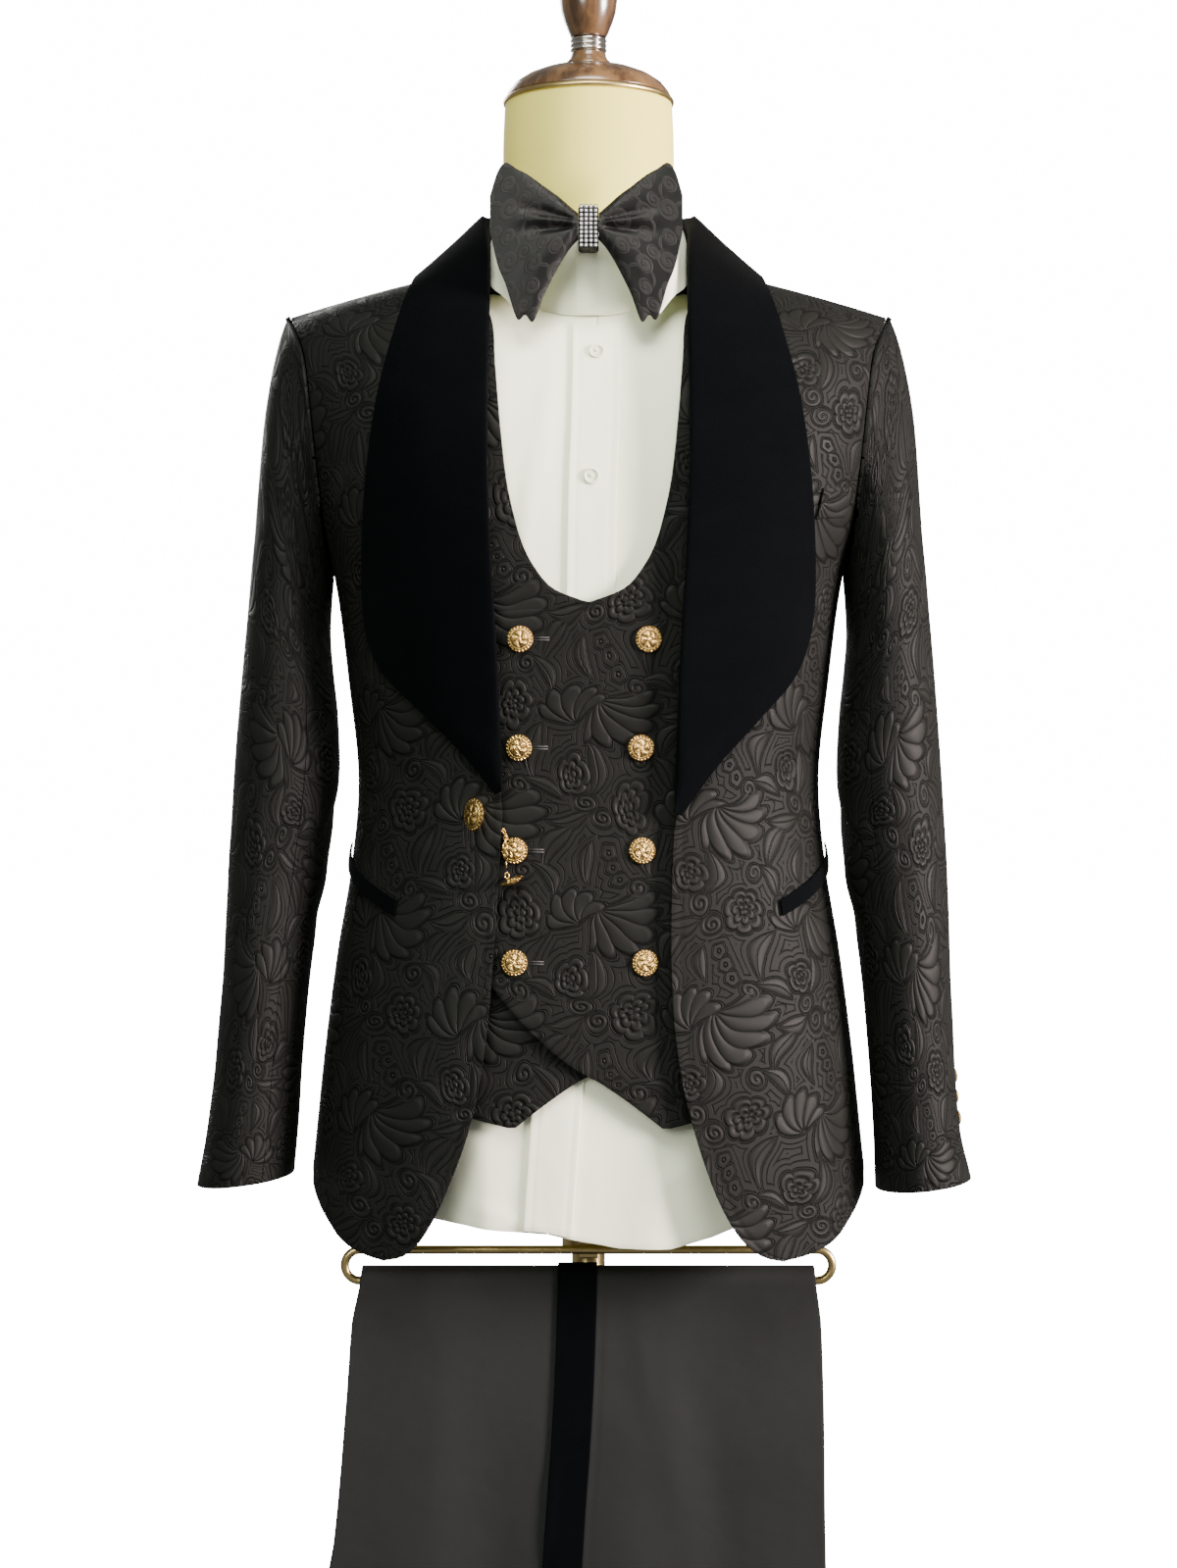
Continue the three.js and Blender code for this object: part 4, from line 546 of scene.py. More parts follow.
walnut = walnut_finish()
steel, steel_tree, steel_shader, steel_spot = new_material("ring_steel", (0.62, 0.6, 0.56), 0.16, 1.0,
                                                           on="Object")
steel_marks = noise(steel_tree, steel_spot, 120, 3, stretch=(0.2, 0.2, 8))
steel_tree.links.new((steel_marks * 0.2 + 0.08).socket, steel_shader.inputs["Roughness"])

turned("cap_rim", [(0, 1586.4), (63, 1586.4), (64.2, 1587.2), (64.6, 1588.8), (63.8, 1590.4), (60, 1590.8),
                   (0, 1590.8)], brass, slot="brass", soft=0.0003, turns=96)
turned("cap_dome", [(0, 1590.9), (62.6, 1590.9), (62.4, 1592.2), (60.8, 1595.6), (56, 1601.4), (48, 1606.8),
                    (38, 1611), (27, 1613.6), (19, 1614.4), (0, 1614.6)], walnut, "neck_cap", slot="walnut",
       turns=96)
turned("finial_collar", [(0, 1614.9), (18, 1614.9), (18.4, 1616.4), (17.2, 1618.6), (14.6, 1621),
                         (13.4, 1623.6), (13, 1626), (0, 1626)], walnut, "finial_foot", slot="walnut")
rings = [(0, 1626.3), (12.2, 1626.3)]
for k in range(3):
    rings += [(12.2 + 1.7 * math.sin(math.pi * s / 6), 1626.6 + 3.6 * k + 3.4 * s / 6) for s in range(7)]
turned("finial_three_rings", rings + [(12.2, 1637.6), (0, 1637.6)], steel, "finial_rings", slot="steel",
       soft=0)
turned("finial_top", [(0, 1637.9), (13.2, 1637.9), (13.8, 1639), (15.2, 1642), (18.2, 1649.5), (20.6, 1657),
                      (21.8, 1666.5), (21.2, 1675), (18.6, 1683), (14, 1689), (8, 1693), (0, 1694.5)],
       walnut, "finial_knob", slot="walnut", turns=72)


# Shirt. White cotton: two fronts that meet under a stitched placket, a back, and a collar on a stand.
def woven_threads():
    """Threads of a plain weave over the cut's own coordinates, in metres."""
    tree, given, leave = new_group("plain_weave", {"Cut": None, "Threads": 1400.0}, ["Height", "Unevenness"])
    x, y = parts_of(given["Cut"])
    across, along = (x * given["Threads"]).sine(), (y * given["Threads"]).sine()
    tree.links.new((across * along * 0.5 + 0.5).socket, leave.inputs["Height"])
    tree.links.new(noise(tree, given["Cut"], 35, 6, 0.6).socket, leave.inputs["Unevenness"])
    return tree


plain_weave = woven_threads()


def cotton_finish():
    material, tree, shader, cut = new_material("shirt_cotton", (0.82, 0.83, 0.77), 0.72, Sheen_Weight=0.1)
    weave = place_group(tree, plain_weave, Cut=cut, Threads=9000.0)
    colour_between(tree, shader, weave["Unevenness"], (0.91, 0.93, 0.7), (0.95, 0.97, 0.76))
    creases = noise(tree, cut, 17, 3, 0.5, stretch=(1, 0.55, 1))
    raise_surface(tree, shader, weave["Height"] * 0.1 + weave["Unevenness"] + creases * 9, 0.0004, 0.6)
    return material


cotton = cotton_finish()
CLOTH = {"jacket": 2, "waistcoat": 1.8, "shirt": 1.1, "velvet": 2.2, "trousers": 1.6}
SEAM, SHOULDER_SEAM, TRIM_GAP, WELT_GAP = 0.4, 0.9, 0.35, 1.1


def cut_cloth(name, across, up, shape, thick, material, *nodes, slot, held="gathered",
              rests_on=("dress_form",), turned_over=False, soft=0.35):
    """One cut piece of cloth. shape(u, v) gives its outer points and their places on the flat cut, in mm."""
    mesh, spots = grid_of(across, up)
    mesh.verts.ensure_lookup_table()
    points, flat = shape(*np.clip(spots, 0, 1).T)
    move_to(mesh, points)
    flat = flat / 1000
    layer = mesh.loops.layers.uv.new("cut")
    for face in mesh.faces:
        for loop in face.loops:
            loop[layer].uv = flat[loop.vert.index]
    if turned_over:
        bmesh.ops.reverse_faces(mesh, faces=mesh.faces[:])
    area = sum(face.calc_area() for face in mesh.faces)
    piece = as_piece(name, mesh, material, *nodes, slot=slot)
    wall = piece.modifiers.new("cloth", "SOLIDIFY")
    wall.thickness = thick / 1000
    wall.offset = -1
    if soft:
        finish_edges(piece, soft / 1000)


def lengths_over(share, steps_along=60, steps_across=120):
    """How far each place on a garment lies round it from the front middle, and up it from the lowest row."""
    rows, angles = np.linspace(0, SHOULDER, steps_along + 1), np.linspace(0, 180, steps_across + 1)
    points = body_point(share, angles[None, :], rows[:, None])
    steps_round = np.linalg.norm(np.diff(points, axis=1), axis=-1)
    steps_up = np.linalg.norm(np.diff(points, axis=0), axis=-1)
    round_it = np.concatenate([np.zeros((len(rows), 1)), np.cumsum(steps_round, 1)], 1)
    up = np.concatenate([np.zeros((1, len(angles))), np.cumsum(steps_up, 0)], 0)

    def at(angle, row):
        turn = np.abs((np.asarray(angle) + 180) % 360 - 180)
        i = np.clip(row / SHOULDER * steps_along, 0, steps_along - 0.001)
        j = np.clip(turn / 180 * steps_across, 0, steps_across - 0.001)
        i0, j0 = i.astype(int), j.astype(int)
        a, b = i - i0, j - j0
        found = [mix(mix(t[i0, j0], t[i0, j0 + 1], b), mix(t[i0 + 1, j0], t[i0 + 1, j0 + 1], b), a)
                 for t in (round_it, up)]
        return found[0] * np.sign(np.where(np.asarray(angle) > 180, -1, angle)), found[1]

    return at


lengths = {share: lengths_over(share) for share in (SHIRT, WAISTCOAT, JACKET)}


def body_cut(share, edges, shift=0, mirrored=False, centred=False, out=None, spread=None):
    """A panel of a body garment: its points over the filled cut lines, and its flat cut as measured there."""
    fill = filled(*edges)

    def shape(u, v):
        if spread:
            u, v = spread(u, v)
        angle, row = fill(u, v)
        points = moved_out(share, angle, row, out(angle, row, u, v) if out else np.zeros_like(u))
        points[:, 1] += shift * np.clip((row - SHOULDER + 2) / 2, 0, 1)
        if centred:
            points[:, 0] = np.maximum(SEAM / 2, points[:, 0])
        if mirrored:
            points[:, 0] *= -1
        across, up = lengths[share](angle, row)
        return points, np.stack([-across if mirrored else across, up], -1)

    return shape


def level_of(share, height):
    return float(row_of(share, 0.0, height))


def between(start, end, count, make):
    return [make(mix(start, end, i / count)) for i in range(count + 1)]


PLACKET = table("height x", (700, -33), (850, -22), (1050, -7), (1210, 2), (1440, 7))
SHIRT_HEM = table("angle height",
                  (-180, 752), (-90, 775), (-60, 764), (-30, 757), (-10, 750), (8, 740), (25, 744),
                  (45, 762), (90, 778), (180, 752))
SHIRT_NECK = {"side": 72, "front_row": 12.4, "nape_row": 13}
SHIRT_FOLDS = ((-22, 5, 4), (-38, 6, -3), (13, 6, 4.5), (30, 7, -3), (50, 6, 4), (-62, 6, 3))
DRAG_LINES = ((-13, 3.4, 2.1, 9.2, 1.6, 0.9), (-17, 4.2, 1.6, 8.1, 1.1, -0.8), (12, -3, 2.2, 9.6, 1.7, 0.8),
              (15.5, -3.8, 1.8, 8.6, 1.2, -0.6), (-8, 1.5, 1.4, 10.6, 1.4, 0.5),
              (9, -1.2, 1.5, 10.9, 1.2, 0.5))
TAIL_CREASES = ((1.2, 0.02, 0.09, 20, 12, 1.1), (0.8, -0.015, 0.07, -20, 10, 1.0),
                (1.9, 0.012, 0.08, 6, 8, -0.8), (1.6, -0.02, 0.1, -33, 9, -0.9),
                (1.0, 0.03, 0.06, 34, 7, 0.8))


def placket_at(height):
    return float(read_at(PLACKET["height"], PLACKET["x"], height))


def shirt_hem(angle):
    height = float(read_at(SHIRT_HEM["angle"], SHIRT_HEM["height"], angle - 360 if angle > 180 else angle))
    return angle, level_of(SHIRT, height)


def shirt_folds(angle, row, u, v):
    """Upright folds where the tails hang free, and soft drag lines down from the chest."""
    low = soft(np.clip((3.2 - row) / 2.5, 0, 1))
    folds = upright_folds(angle, SHIRT_FOLDS) * low
    drag = sum(deep * mound(angle - lean * (row - 8), at, reach) * mound(row, middle, long)
               for at, lean, reach, middle, long, deep in DRAG_LINES)
    return folds + drag + slanting_folds(angle, row, TAIL_CREASES) * low


SHIRT_ARMHOLE = [(min(89.9, float(angle_of(SHIRT, x, row))), row)
                 for row, x in ((8, 200), (8.5, 174), (9.3, 180), (10.5, 183), (12, 187))]
shirt_shoulder = (float(angle_of(SHIRT, 198.0, SHOULDER)), SHOULDER)
shirt_fronts = {}
for side, turn in (("right", -1), ("left", 1)):
    start_height = float(read_at(SHIRT_HEM["angle"], SHIRT_HEM["height"], -12))
    closing = [place(SHIRT, placket_at(z) + turn * SEAM / 2, z)
               for z in (start_height, 850, 950, 1050, 1130, 1210, 1330)]
    closing.append((float(angle_of(SHIRT, placket_at(1440) + turn * SEAM / 2, SHIRT_NECK["front_row"])),
                    SHIRT_NECK["front_row"]))
    outer = [shirt_hem(turn * 89.9), *[(turn * a, r) for a, r in SHIRT_ARMHOLE],
             (turn * shirt_shoulder[0], SHOULDER)]

    def neck_place(t, turn=turn):
        swing = math.radians(t * 1.125)
        row = mix(SHIRT_NECK["front_row"], SHOULDER, 1 - math.cos(swing))
        x = mix(abs(placket_at(1440)), SHIRT_NECK["side"], math.sin(swing))
        return float(angle_of(SHIRT, turn * x, row)), row

    neck = [closing[-1], *between(0, 80, 4, neck_place)[1:]]
    hem = [closing[0], *between(closing[0][0], turn * 89.9, 8, shirt_hem)[1:]]
    edges = (through(closing), through(outer), through(hem), through([*neck, outer[-1]]))
    shape = body_cut(SHIRT, edges, shift=-SHOULDER_SEAM / 2, out=shirt_folds)
    shirt_fronts[side] = shape
    cut_cloth(f"shirt_front_cloth_{side}", 60, 150, shape, CLOTH["shirt"], cotton, f"shirt_front_{side}",
              slot="shirt", turned_over=turn < 0)


def whole_back(share, hem_at, side_seam, armhole, shoulder, neck_point, nape_row):
    """The four cut lines of a back in one piece, from the wearer's left side seam round to the right one."""
    half = [hem_at(side_seam), *[(180 - a, r) for a, r in armhole], (180 - shoulder, SHOULDER)]
    other = [(360 - a, r) for a, r in half]

    def neck_place(t):
        row = mix(SHOULDER, nape_row, math.sin(math.radians(t)))
        angle = float(angle_of(share, neck_point * abs(math.cos(math.radians(t))), row))
        return (180 - angle if t <= 90 else 180 + angle), row

    return (through(half), through(other), through(between(side_seam, 360 - side_seam, 12, hem_at)),
            through([half[-1], *between(0, 180, 8, neck_place), other[-1]]))


edges = whole_back(SHIRT, shirt_hem, 90.3, [(min(a, 89.7), r) for a, r in SHIRT_ARMHOLE], shirt_shoulder[0],
                   SHIRT_NECK["side"], SHIRT_NECK["nape_row"])
cut_cloth("shirt_back_cloth", 60, 44, body_cut(SHIRT, edges, shift=SHOULDER_SEAM / 2),
          CLOTH["shirt"], cotton, "shirt_back", slot="shirt")

PLACKET_HALF = 17.5
shares = np.linspace(0, 0.5, 26)


def placket_shape(u, v):
    """The placket lies on both fronts and covers where they meet, with a stitched groove along each side."""
    v = mix(0.002, 0.966, v)
    turn = u * 2 - 1
    wide = np.abs(turn) * PLACKET_HALF
    points = np.zeros((len(u), 3))
    for side, sign in (("right", -1), ("left", 1)):
        mine = np.where(turn * sign >= 0)[0]
        for k in mine:
            row = shirt_fronts[side](shares, np.full(len(shares), v[k]))[0]
            away = np.abs(row[:, 0] - row[0, 0])
            points[k] = [np.interp(wide[k], away, row[:, axis]) for axis in range(3)]
    stitched = mound(wide, PLACKET_HALF - 5.2, 0.9)
    points[:, 1] -= 2.2 - 0.35 * stitched
    return points, np.stack([turn * PLACKET_HALF, v * 640], -1)


cut_cloth("shirt_placket_cloth", 24, 120, placket_shape, 1, cotton, "shirt_placket", slot="shirt")

COLLAR = table("x y top bottom leaf_x leaf_y leaf_z",
               (0, -66.2, 1489, 1418, 51, -86, 1415), (22, -62.8, 1490, 1419.5, 60, -78, 1428),
               (44.5, -49, 1493, 1430, 69, -62, 1438), (61, -25.5, 1496, 1454, 73.2, -31, 1450),
               (66.3, 4, 1498, 1463, 74, 4, 1463), (57.4, 38.5, 1500, 1466, 60.4, 41, 1473),
               (32.6, 60.8, 1501, 1468, 33.6, 64.4, 1474), (0, 67.8, 1501, 1468, 0, 71.6, 1474))


def collar_at(turn):
    """Reads the collar all round: -1 is the right end in front, 0 the middle behind, 1 the left end."""
    at = mix(len(COLLAR["x"]) - 1, 0, np.abs(turn))
    found = {c: read(COLLAR[c], at) for c in COLLAR}
    side = np.where(turn < 0, -1, 1)
    return {**found, "x": found["x"] * side, "leaf_x": found["leaf_x"] * side}


STAND_SEAM = table("x y", *((x, moved_out(SHIRT, *place(SHIRT, x, height), 1.2)[1])
                            for x, height in ((0, 1418), (12, 1418.8), (22, 1419.5), (34, 1425),
                                              (44.5, 1430))))


def stand_shape(u, v):
    """The stand's left end laps 9 mm over its right end, and in front its foot lies on the shirt's cloth."""
    turn = mix(-1, 1.02, u)
    past = np.maximum(turn - 1, 0)
    s = collar_at(np.minimum(turn, 1))
    lap = soft(np.clip((turn - 0.94) / 0.05, 0, 1)) * 1.5
    seam = np.interp(np.abs(s["x"]), STAND_SEAM["x"], STAND_SEAM["y"])
    foot = soft(np.clip(1 - v * 1.6, 0, 1)) * soft(np.clip((60 - np.abs(s["x"])) / 20, 0, 1)) * (s["y"] < 0)
    points = np.stack([s["x"] - past * 450, mix(s["y"], np.minimum(seam, s["y"] + 12), foot) - lap,
                       mix(s["bottom"], s["top"], v)], -1)
    return points, np.stack([(u - 0.5) * 420, v * 50], -1)


def leaf_shape(u, v):
    """The turned-down leaf: from its fold at the top of the stand down and out to its edge and points."""
    turn = mix(-1, 1, u)
    fold = collar_at(turn * 0.954)
    s = collar_at(turn)
    roll = np.stack([fold["x"] * 1.036, (fold["y"] - 3) * 1.036 + 3, fold["top"] - 0.5], -1)
    end = np.stack([s["leaf_x"] * 1.012, s["leaf_y"] * 1.012, s["leaf_z"]], -1)
    outward = unit(np.stack([s["leaf_x"], s["leaf_y"] - 3, np.zeros_like(u)], -1))
    stitched = mound(v, 0.86, 0.03)
    lift = 1.2 * np.sin(math.pi * v) - 0.3 * stitched
    return mix(roll, end, v[:, None]) + outward * lift[:, None], np.stack([(u - 0.5) * 430, v * 42], -1)


cut_cloth("shirt_stand_cloth", 120, 10, stand_shape, CLOTH["shirt"], cotton, "shirt_collar_stand",
          slot="shirt")
cut_cloth("shirt_leaf_cloth", 140, 24, leaf_shape, CLOTH["shirt"], cotton, "shirt_collar_leaf", slot="shirt",
          turned_over=True)


# Waistcoat. The same brocade as the jacket: two fronts that cross, with pointed hems, and a back.
def repeated_motif():
    """Local coordinates round a motif repeated over the cloth in columns, each half a repeat lower."""
    tree, given, leave = new_group("brocade_place", {"Cut": None, "X": 0.0, "Y": 0.0, "Turn": 0.0,
                                                     "Reach": 20.0,
                                                     "Wide": 84.0, "Tall": 148.0}, ["Across", "Up"])
    x, y = parts_of(given["Cut"])
    x, y = x * 1000 - given["X"], y * 1000 - given["Y"]
    column = (x / given["Wide"] + 0.5).math("FLOOR")
    x = x - column * given["Wide"]
    y = y + column * given["Tall"] * 0.5
    y = y - (y / given["Tall"] + 0.5).math("FLOOR") * given["Tall"]
    cosine, sine = given["Turn"].math("COSINE"), given["Turn"].sine()
    tree.links.new(((x * cosine + y * sine) / given["Reach"]).socket, leave.inputs["Across"])
    tree.links.new(((y * cosine - x * sine) / given["Reach"]).socket, leave.inputs["Up"])
    return tree


def motif(name, choices, draw):
    """A motif's group: draw gives its raised height and how far inside its outline a place is."""
    tree, given, leave = new_group(name, {"Across": 0.0, "Up": 0.0, "Reach": 1.0, **choices},
                                   ["Height", "Inside"])
    height, inside = draw(given)
    tree.links.new(height.socket, leave.inputs["Height"])
    tree.links.new((inside * given["Reach"]).socket, leave.inputs["Inside"])
    return tree


def fan(given):
    """A spray of curved lobes that fan out of one root, wider and rounded towards their tips."""
    x, y = given["Across"], given["Up"] + 0.72
    far = (x * x + y * y).math("SQRT") / 1.6
    turn = x.math("ARCTAN2", y) + (far - 0.3) * given["Bend"]
    lobe = turn * (given["Lobes"] / 2.5)
    off = (lobe - (lobe + 0.5).math("FLOOR")) * 2
    end = 1 - (turn * turn) * 0.14 - off * off * 0.17
    inside = ((end - far) * 1.5).lower((1.24 - turn.size()) * far * 1.6)
    ridge = (1 - off * off * 0.96).math("SQRT") * (end - far).rise(0.0, 0.13)
    return (ridge * inside.rise(0, 0.05) * far.rise(0.03, 0.16)).held(), inside


def bloom(given):
    """A full flower: two rings of scalloped petals round a small heart."""
    x, y = given["Across"], given["Up"]
    far = (x * x + y * y).math("SQRT")
    turn = x.math("ARCTAN2", y)
    height, inside = None, None
    for rim, width, share, start in ((0.97, 0.38, 1.0, 0.0), (0.62, 0.34, 1.0, 0.6), (0.3, 0.3, 0.5, 0.2)):
        petal = ((turn * given["Petals"] * share * 0.5 + start).sine()).size()
        edge = petal.power(0.5) * 0.2 + rim - 0.2
        ring = (edge - far) / width
        dome = (ring.rise(0, 0.4) * (1 - ring.rise(0.6, 1.1)) * (petal.power(0.5) * 0.5 + 0.5)).held()
        height = height.higher(dome) if height else dome
        inside = inside or (edge - far)
    return height, inside


def leaf(given):
    """A curved leaf with pointed ends and a groove along its middle."""
    x = given["Across"]
    y = given["Up"] - (1 - x * x) * given["Bend"] + given["Bend"] * 0.5
    half = ((1 - x * x) * (x * 0.35 + 1)).higher(0.0001) * given["Slim"]
    inside = (half - y.size()) - (x.size() - 1).higher(0)
    dome = (1 - (y / half).power(2)).held().math("SQRT")
    return (dome * (1 - y.hump(0, 0.05) * 0.7) * (1 - x.size()).rise(0, 0.05)).held(), inside


def scroll(given):
    """A tendril that winds into a spiral."""
    x, y = given["Across"], given["Up"]
    far = (x * x + y * y).math("SQRT")
    wind = far * given["Winds"] - x.math("ARCTAN2", y) / math.tau
    off = wind - (wind + 0.5).math("FLOOR")
    ridge = (1 - (off * 2.3).power(2)).held().math("SQRT")
    return (ridge * (1 - far.rise(0.9, 1.0))).held(), 1 - far


def berries(given):
    """Three small round flowers one above another, each a ring of petals with a raised heart."""
    x, y = given["Across"], given["Up"]
    step = ((y / 0.66 + 0.5).math("FLOOR")).higher(-1).lower(1)
    y = y - step * 0.66
    far = (x * x + y * y).math("SQRT") * (1 + (x.math("ARCTAN2", y) * 5).sine() * 0.07)
    petals = (0.34 - far).rise(0, 0.06) * far.rise(0.08, 0.15)
    return petals.higher(far.hump(0, 0.09)), 0.34 - far


MOTIFS = {"fan": motif("brocade_fan", {"Lobes": 6.0, "Bend": 0.55}, fan),
          "bloom": motif("brocade_bloom", {"Petals": 7.0}, bloom),
          "leaf": motif("brocade_leaf", {"Slim": 0.34, "Bend": 0.35}, leaf),
          "scroll": motif("brocade_scroll", {"Winds": 1.9}, scroll),
          "berries": motif("brocade_berries", {}, berries)}
motif_place = repeated_motif()
# Each row is a motif of one repeat, 84 mm wide and 148 mm tall: its kind, middle, turn in degrees and reach.
REPEAT = (
    ("fan", 20, 122, 215, 28, {"Lobes": 6.0, "Bend": 0.7}),
    ("fan", 70, 62, 28, 20, {"Lobes": 5.0, "Bend": -0.6}), ("bloom", 31, 62, 0, 18, {"Petals": 7.0}),
    ("bloom", 73, 14, 20, 14, {"Petals": 5.0}), ("berries", 17, 22, 25, 17, {}),
    ("leaf", 58, 110, 60, 17, {}), ("leaf", 66, 128, 10, 15, {"Bend": -0.3}), ("leaf", 53, 88, -50, 15, {}),
    ("leaf", 3, 88, 80, 17, {"Bend": -0.5}), ("leaf", 45, 30, 75, 19, {"Bend": 0.5}),
    ("leaf", 50, 6, -20, 15, {}), ("leaf", 82, 98, 95, 14, {}), ("scroll", 6, 55, 0, 8, {}),
    ("scroll", 38, 92, 0, 7, {"Winds": 1.5}), ("scroll", 79, 142, 0, 8, {}),
    ("scroll", 34, 4, 0, 7, {"Winds": 1.5}),
)


def placed_motif(cut, kind, x, y, turn, reach, choices, **repeat):
    """A motif at its place in the repeat, in millimetres and degrees: its wires of height and inside."""
    local = place_group(cut.tree, motif_place, Cut=cut, X=float(x), Y=float(y), Turn=math.radians(turn),
                        Reach=float(reach), **repeat)
    return place_group(cut.tree, MOTIFS[kind], Across=local["Across"], Up=local["Up"], Reach=float(reach),
                       **choices)


def brocade_pattern():
    """Raised flowers, sprays, leaves and scrolls, with thin grooves that echo their outlines in between."""
    tree, given, leave = new_group("brocade_flowers", {"Cut": None}, ["Height", "Figure"])
    sway = [noise(tree, given["Cut"], 16, 1, stretch=stretch) for stretch in ((1, 1, 1), (-1, 1.3, 1))]
    x, y = parts_of(given["Cut"])
    joint = tree.nodes.new("ShaderNodeCombineXYZ")
    for value, moved, socket in zip((x, y), sway, joint.inputs):
        tree.links.new((value + (moved - 0.5) * 0.022).socket, socket)
    drawn = Wire(tree, joint.outputs[0])
    height, inside = None, None
    for row in REPEAT:
        found = placed_motif(drawn, *row)
        height = height.higher(found["Height"]) if height else found["Height"]
        inside = inside.higher(found["Inside"]) if inside else found["Inside"]
    echo = (inside + 1.1) / -4.1
    line = (echo - (echo + 0.5).math("FLOOR")).hump(0, 0.15)
    ground = (0.7 - line * 0.62) * (0.5 - inside).rise(0, 0.8)
    tree.links.new(height.higher(ground).socket, leave.inputs["Height"])
    tree.links.new(inside.rise(-0.4, 0.8).socket, leave.inputs["Figure"])
    return tree


brocade_flowers = brocade_pattern()


def brocade_finish():
    material, tree, shader, cut = new_material("black_brocade", (0.009, 0.0095, 0.0085), 0.5,
                                               Specular_IOR_Level=0.08)
    flowers = place_group(tree, brocade_flowers, Cut=cut)
    twill = place_group(tree, plain_weave, Cut=cut, Threads=7000.0)
    cloudy = noise(tree, cut, 9, 4)
    shown = flowers["Height"].rise(0.05, 0.6) * 0.65 + cloudy * 0.35
    colour_between(tree, shader, shown.held(), (0.0018, 0.0021, 0.0018), (0.0092, 0.0094, 0.0082))
    tree.links.new((0.6 - flowers["Figure"] * 0.1 + cloudy * 0.06).socket, shader.inputs["Roughness"])
    raise_surface(tree, shader, flowers["Height"] + twill["Height"] * 0.02 + cloudy * 0.1, 0.0012, 1.0)
    return material


brocade = brocade_finish()
WAIST_CUT = {"overlap": 70, "top": 1198, "front_end": 930, "point_at": 54, "point": 828, "neck_point": 76}
LOW_NECK = table("x height",
                 (0, 1205), (24, 1214), (37, 1227), (48, 1247), (56, 1276), (61, 1305), (66, 1357),
                 (70, 1410))
WAIST_HEM = table("angle height", (18, 829), (33, 843), (50, 856), (73, 864), (90, 867), (180, 872))


def waistcoat_hem(angle):
    even = 360 - angle if angle > 180 else angle
    return angle, level_of(WAISTCOAT, float(read_at(WAIST_HEM["angle"], WAIST_HEM["height"], even)))


WAIST_ARMHOLE = [(min(89.9, float(angle_of(WAISTCOAT, x, row))), row) for row, x in
                 ((7.7, 200), (8.05, 175), (9, 165), (10, 156), (11.2, 149), (12.5, 147))]
waist_shoulder = (float(angle_of(WAISTCOAT, 150.0, SHOULDER)), SHOULDER)
# Slight pulls between the buttons, where the cloth is nipped in.
WAIST_PULLS = ((4.4, 0.006, 0.13, 4, 34, 0.5), (5.5, -0.005, 0.16, 4, 34, -0.45),
               (6.3, 0.004, 0.14, 4, 34, 0.4), (3.5, 0.008, 0.12, 4, 34, 0.4))
for side, under in (("right", -4.4), ("left", 0)):
    cut = WAIST_CUT
    front_line = [place(WAISTCOAT, -cut["overlap"], z) for z in (cut["front_end"], 1060, cut["top"])]
    neck_rows = np.linspace(0, len(LOW_NECK["x"]) - 1, 22)
    neck_line = [*[place(WAISTCOAT, x, cut["top"] + 2) for x in (-46, -22)],
                 *[place(WAISTCOAT, float(read(LOW_NECK["x"], t)), float(read(LOW_NECK["height"], t)))
                   for t in neck_rows],
                 (float(angle_of(WAISTCOAT, cut["neck_point"], SHOULDER)), SHOULDER)]
    outer = [waistcoat_hem(89.9), *WAIST_ARMHOLE, waist_shoulder]
    hem = [front_line[0], place(WAISTCOAT, cut["point_at"], cut["point"]),
           *[waistcoat_hem(a) for a in (33, 50, 70, 89.9)]]
    edges = (through([*front_line, *neck_line]), through(outer), through(hem),
             through([neck_line[-1], waist_shoulder]))
    ease = (lambda a, r, u, v, under=under: under + slanting_folds(a, r, WAIST_PULLS))
    cut_cloth(f"waistcoat_front_cloth_{side}", 64, 170,
              body_cut(WAISTCOAT, edges, shift=-SHOULDER_SEAM / 2, mirrored=side == "right", out=ease),
              CLOTH["waistcoat"], brocade, f"waistcoat_front_{side}", slot="brocade",
              turned_over=side == "right")
edges = whole_back(WAISTCOAT, waistcoat_hem, 90.3,
                   [(a - (0.3 if a > 89 else 0), r) for a, r in WAIST_ARMHOLE], waist_shoulder[0],
                   WAIST_CUT["neck_point"], 13.5)
cut_cloth("waistcoat_back_cloth", 60, 44, body_cut(WAISTCOAT, edges, shift=SHOULDER_SEAM / 2),
          CLOTH["waistcoat"], brocade, "waistcoat_back", slot="brocade")


# Jacket. Two fronts, two side panels and two backs of black brocade, sewn at sides, shoulders and back.
ARMHOLE_REACH = np.array([0, 0, 0, 0, 0, 0, 0, 0, 1, 0.963, 0.944, 0.938, 0.946, 0.964, 0.982, 1])
SCOOP = 17
SIDE_SEAM = 90 - SCOOP
LEFT_TIP_LOWER, LAPEL_TUCK, NECK_POINT, NAPE_ROW = 15, 4.8, 84, 13.5
FRONT_EDGE = table("height right left",
                   (733, 147, 139), (737, 133, 125), (748, 121, 111), (766, 110, 99), (790, 99, 88),
                   (826, 86, 76), (862, 78, 67), (905, 72, 61), (955, 68, 59), (1010, 64.5, 60),
                   (1056, 62, 62))
LAPEL = table("roll roll_height edge edge_height",
              (61.5, 1070, 66, 1067), (62, 1090, 92, 1099), (63, 1114, 122, 1129), (64.5, 1148, 149, 1158),
              (67, 1192, 161.5, 1192), (70, 1244, 163, 1243), (72, 1300, 159, 1303), (72.5, 1357, 151, 1358),
              (72, 1408, 140, 1405))
JACKET_HEM = table("angle height",
                   (30, 733), (38, 734), (48, 740), (60, 756), (75, 778), (90, 786), (120, 782), (150, 777),
                   (180, 775))
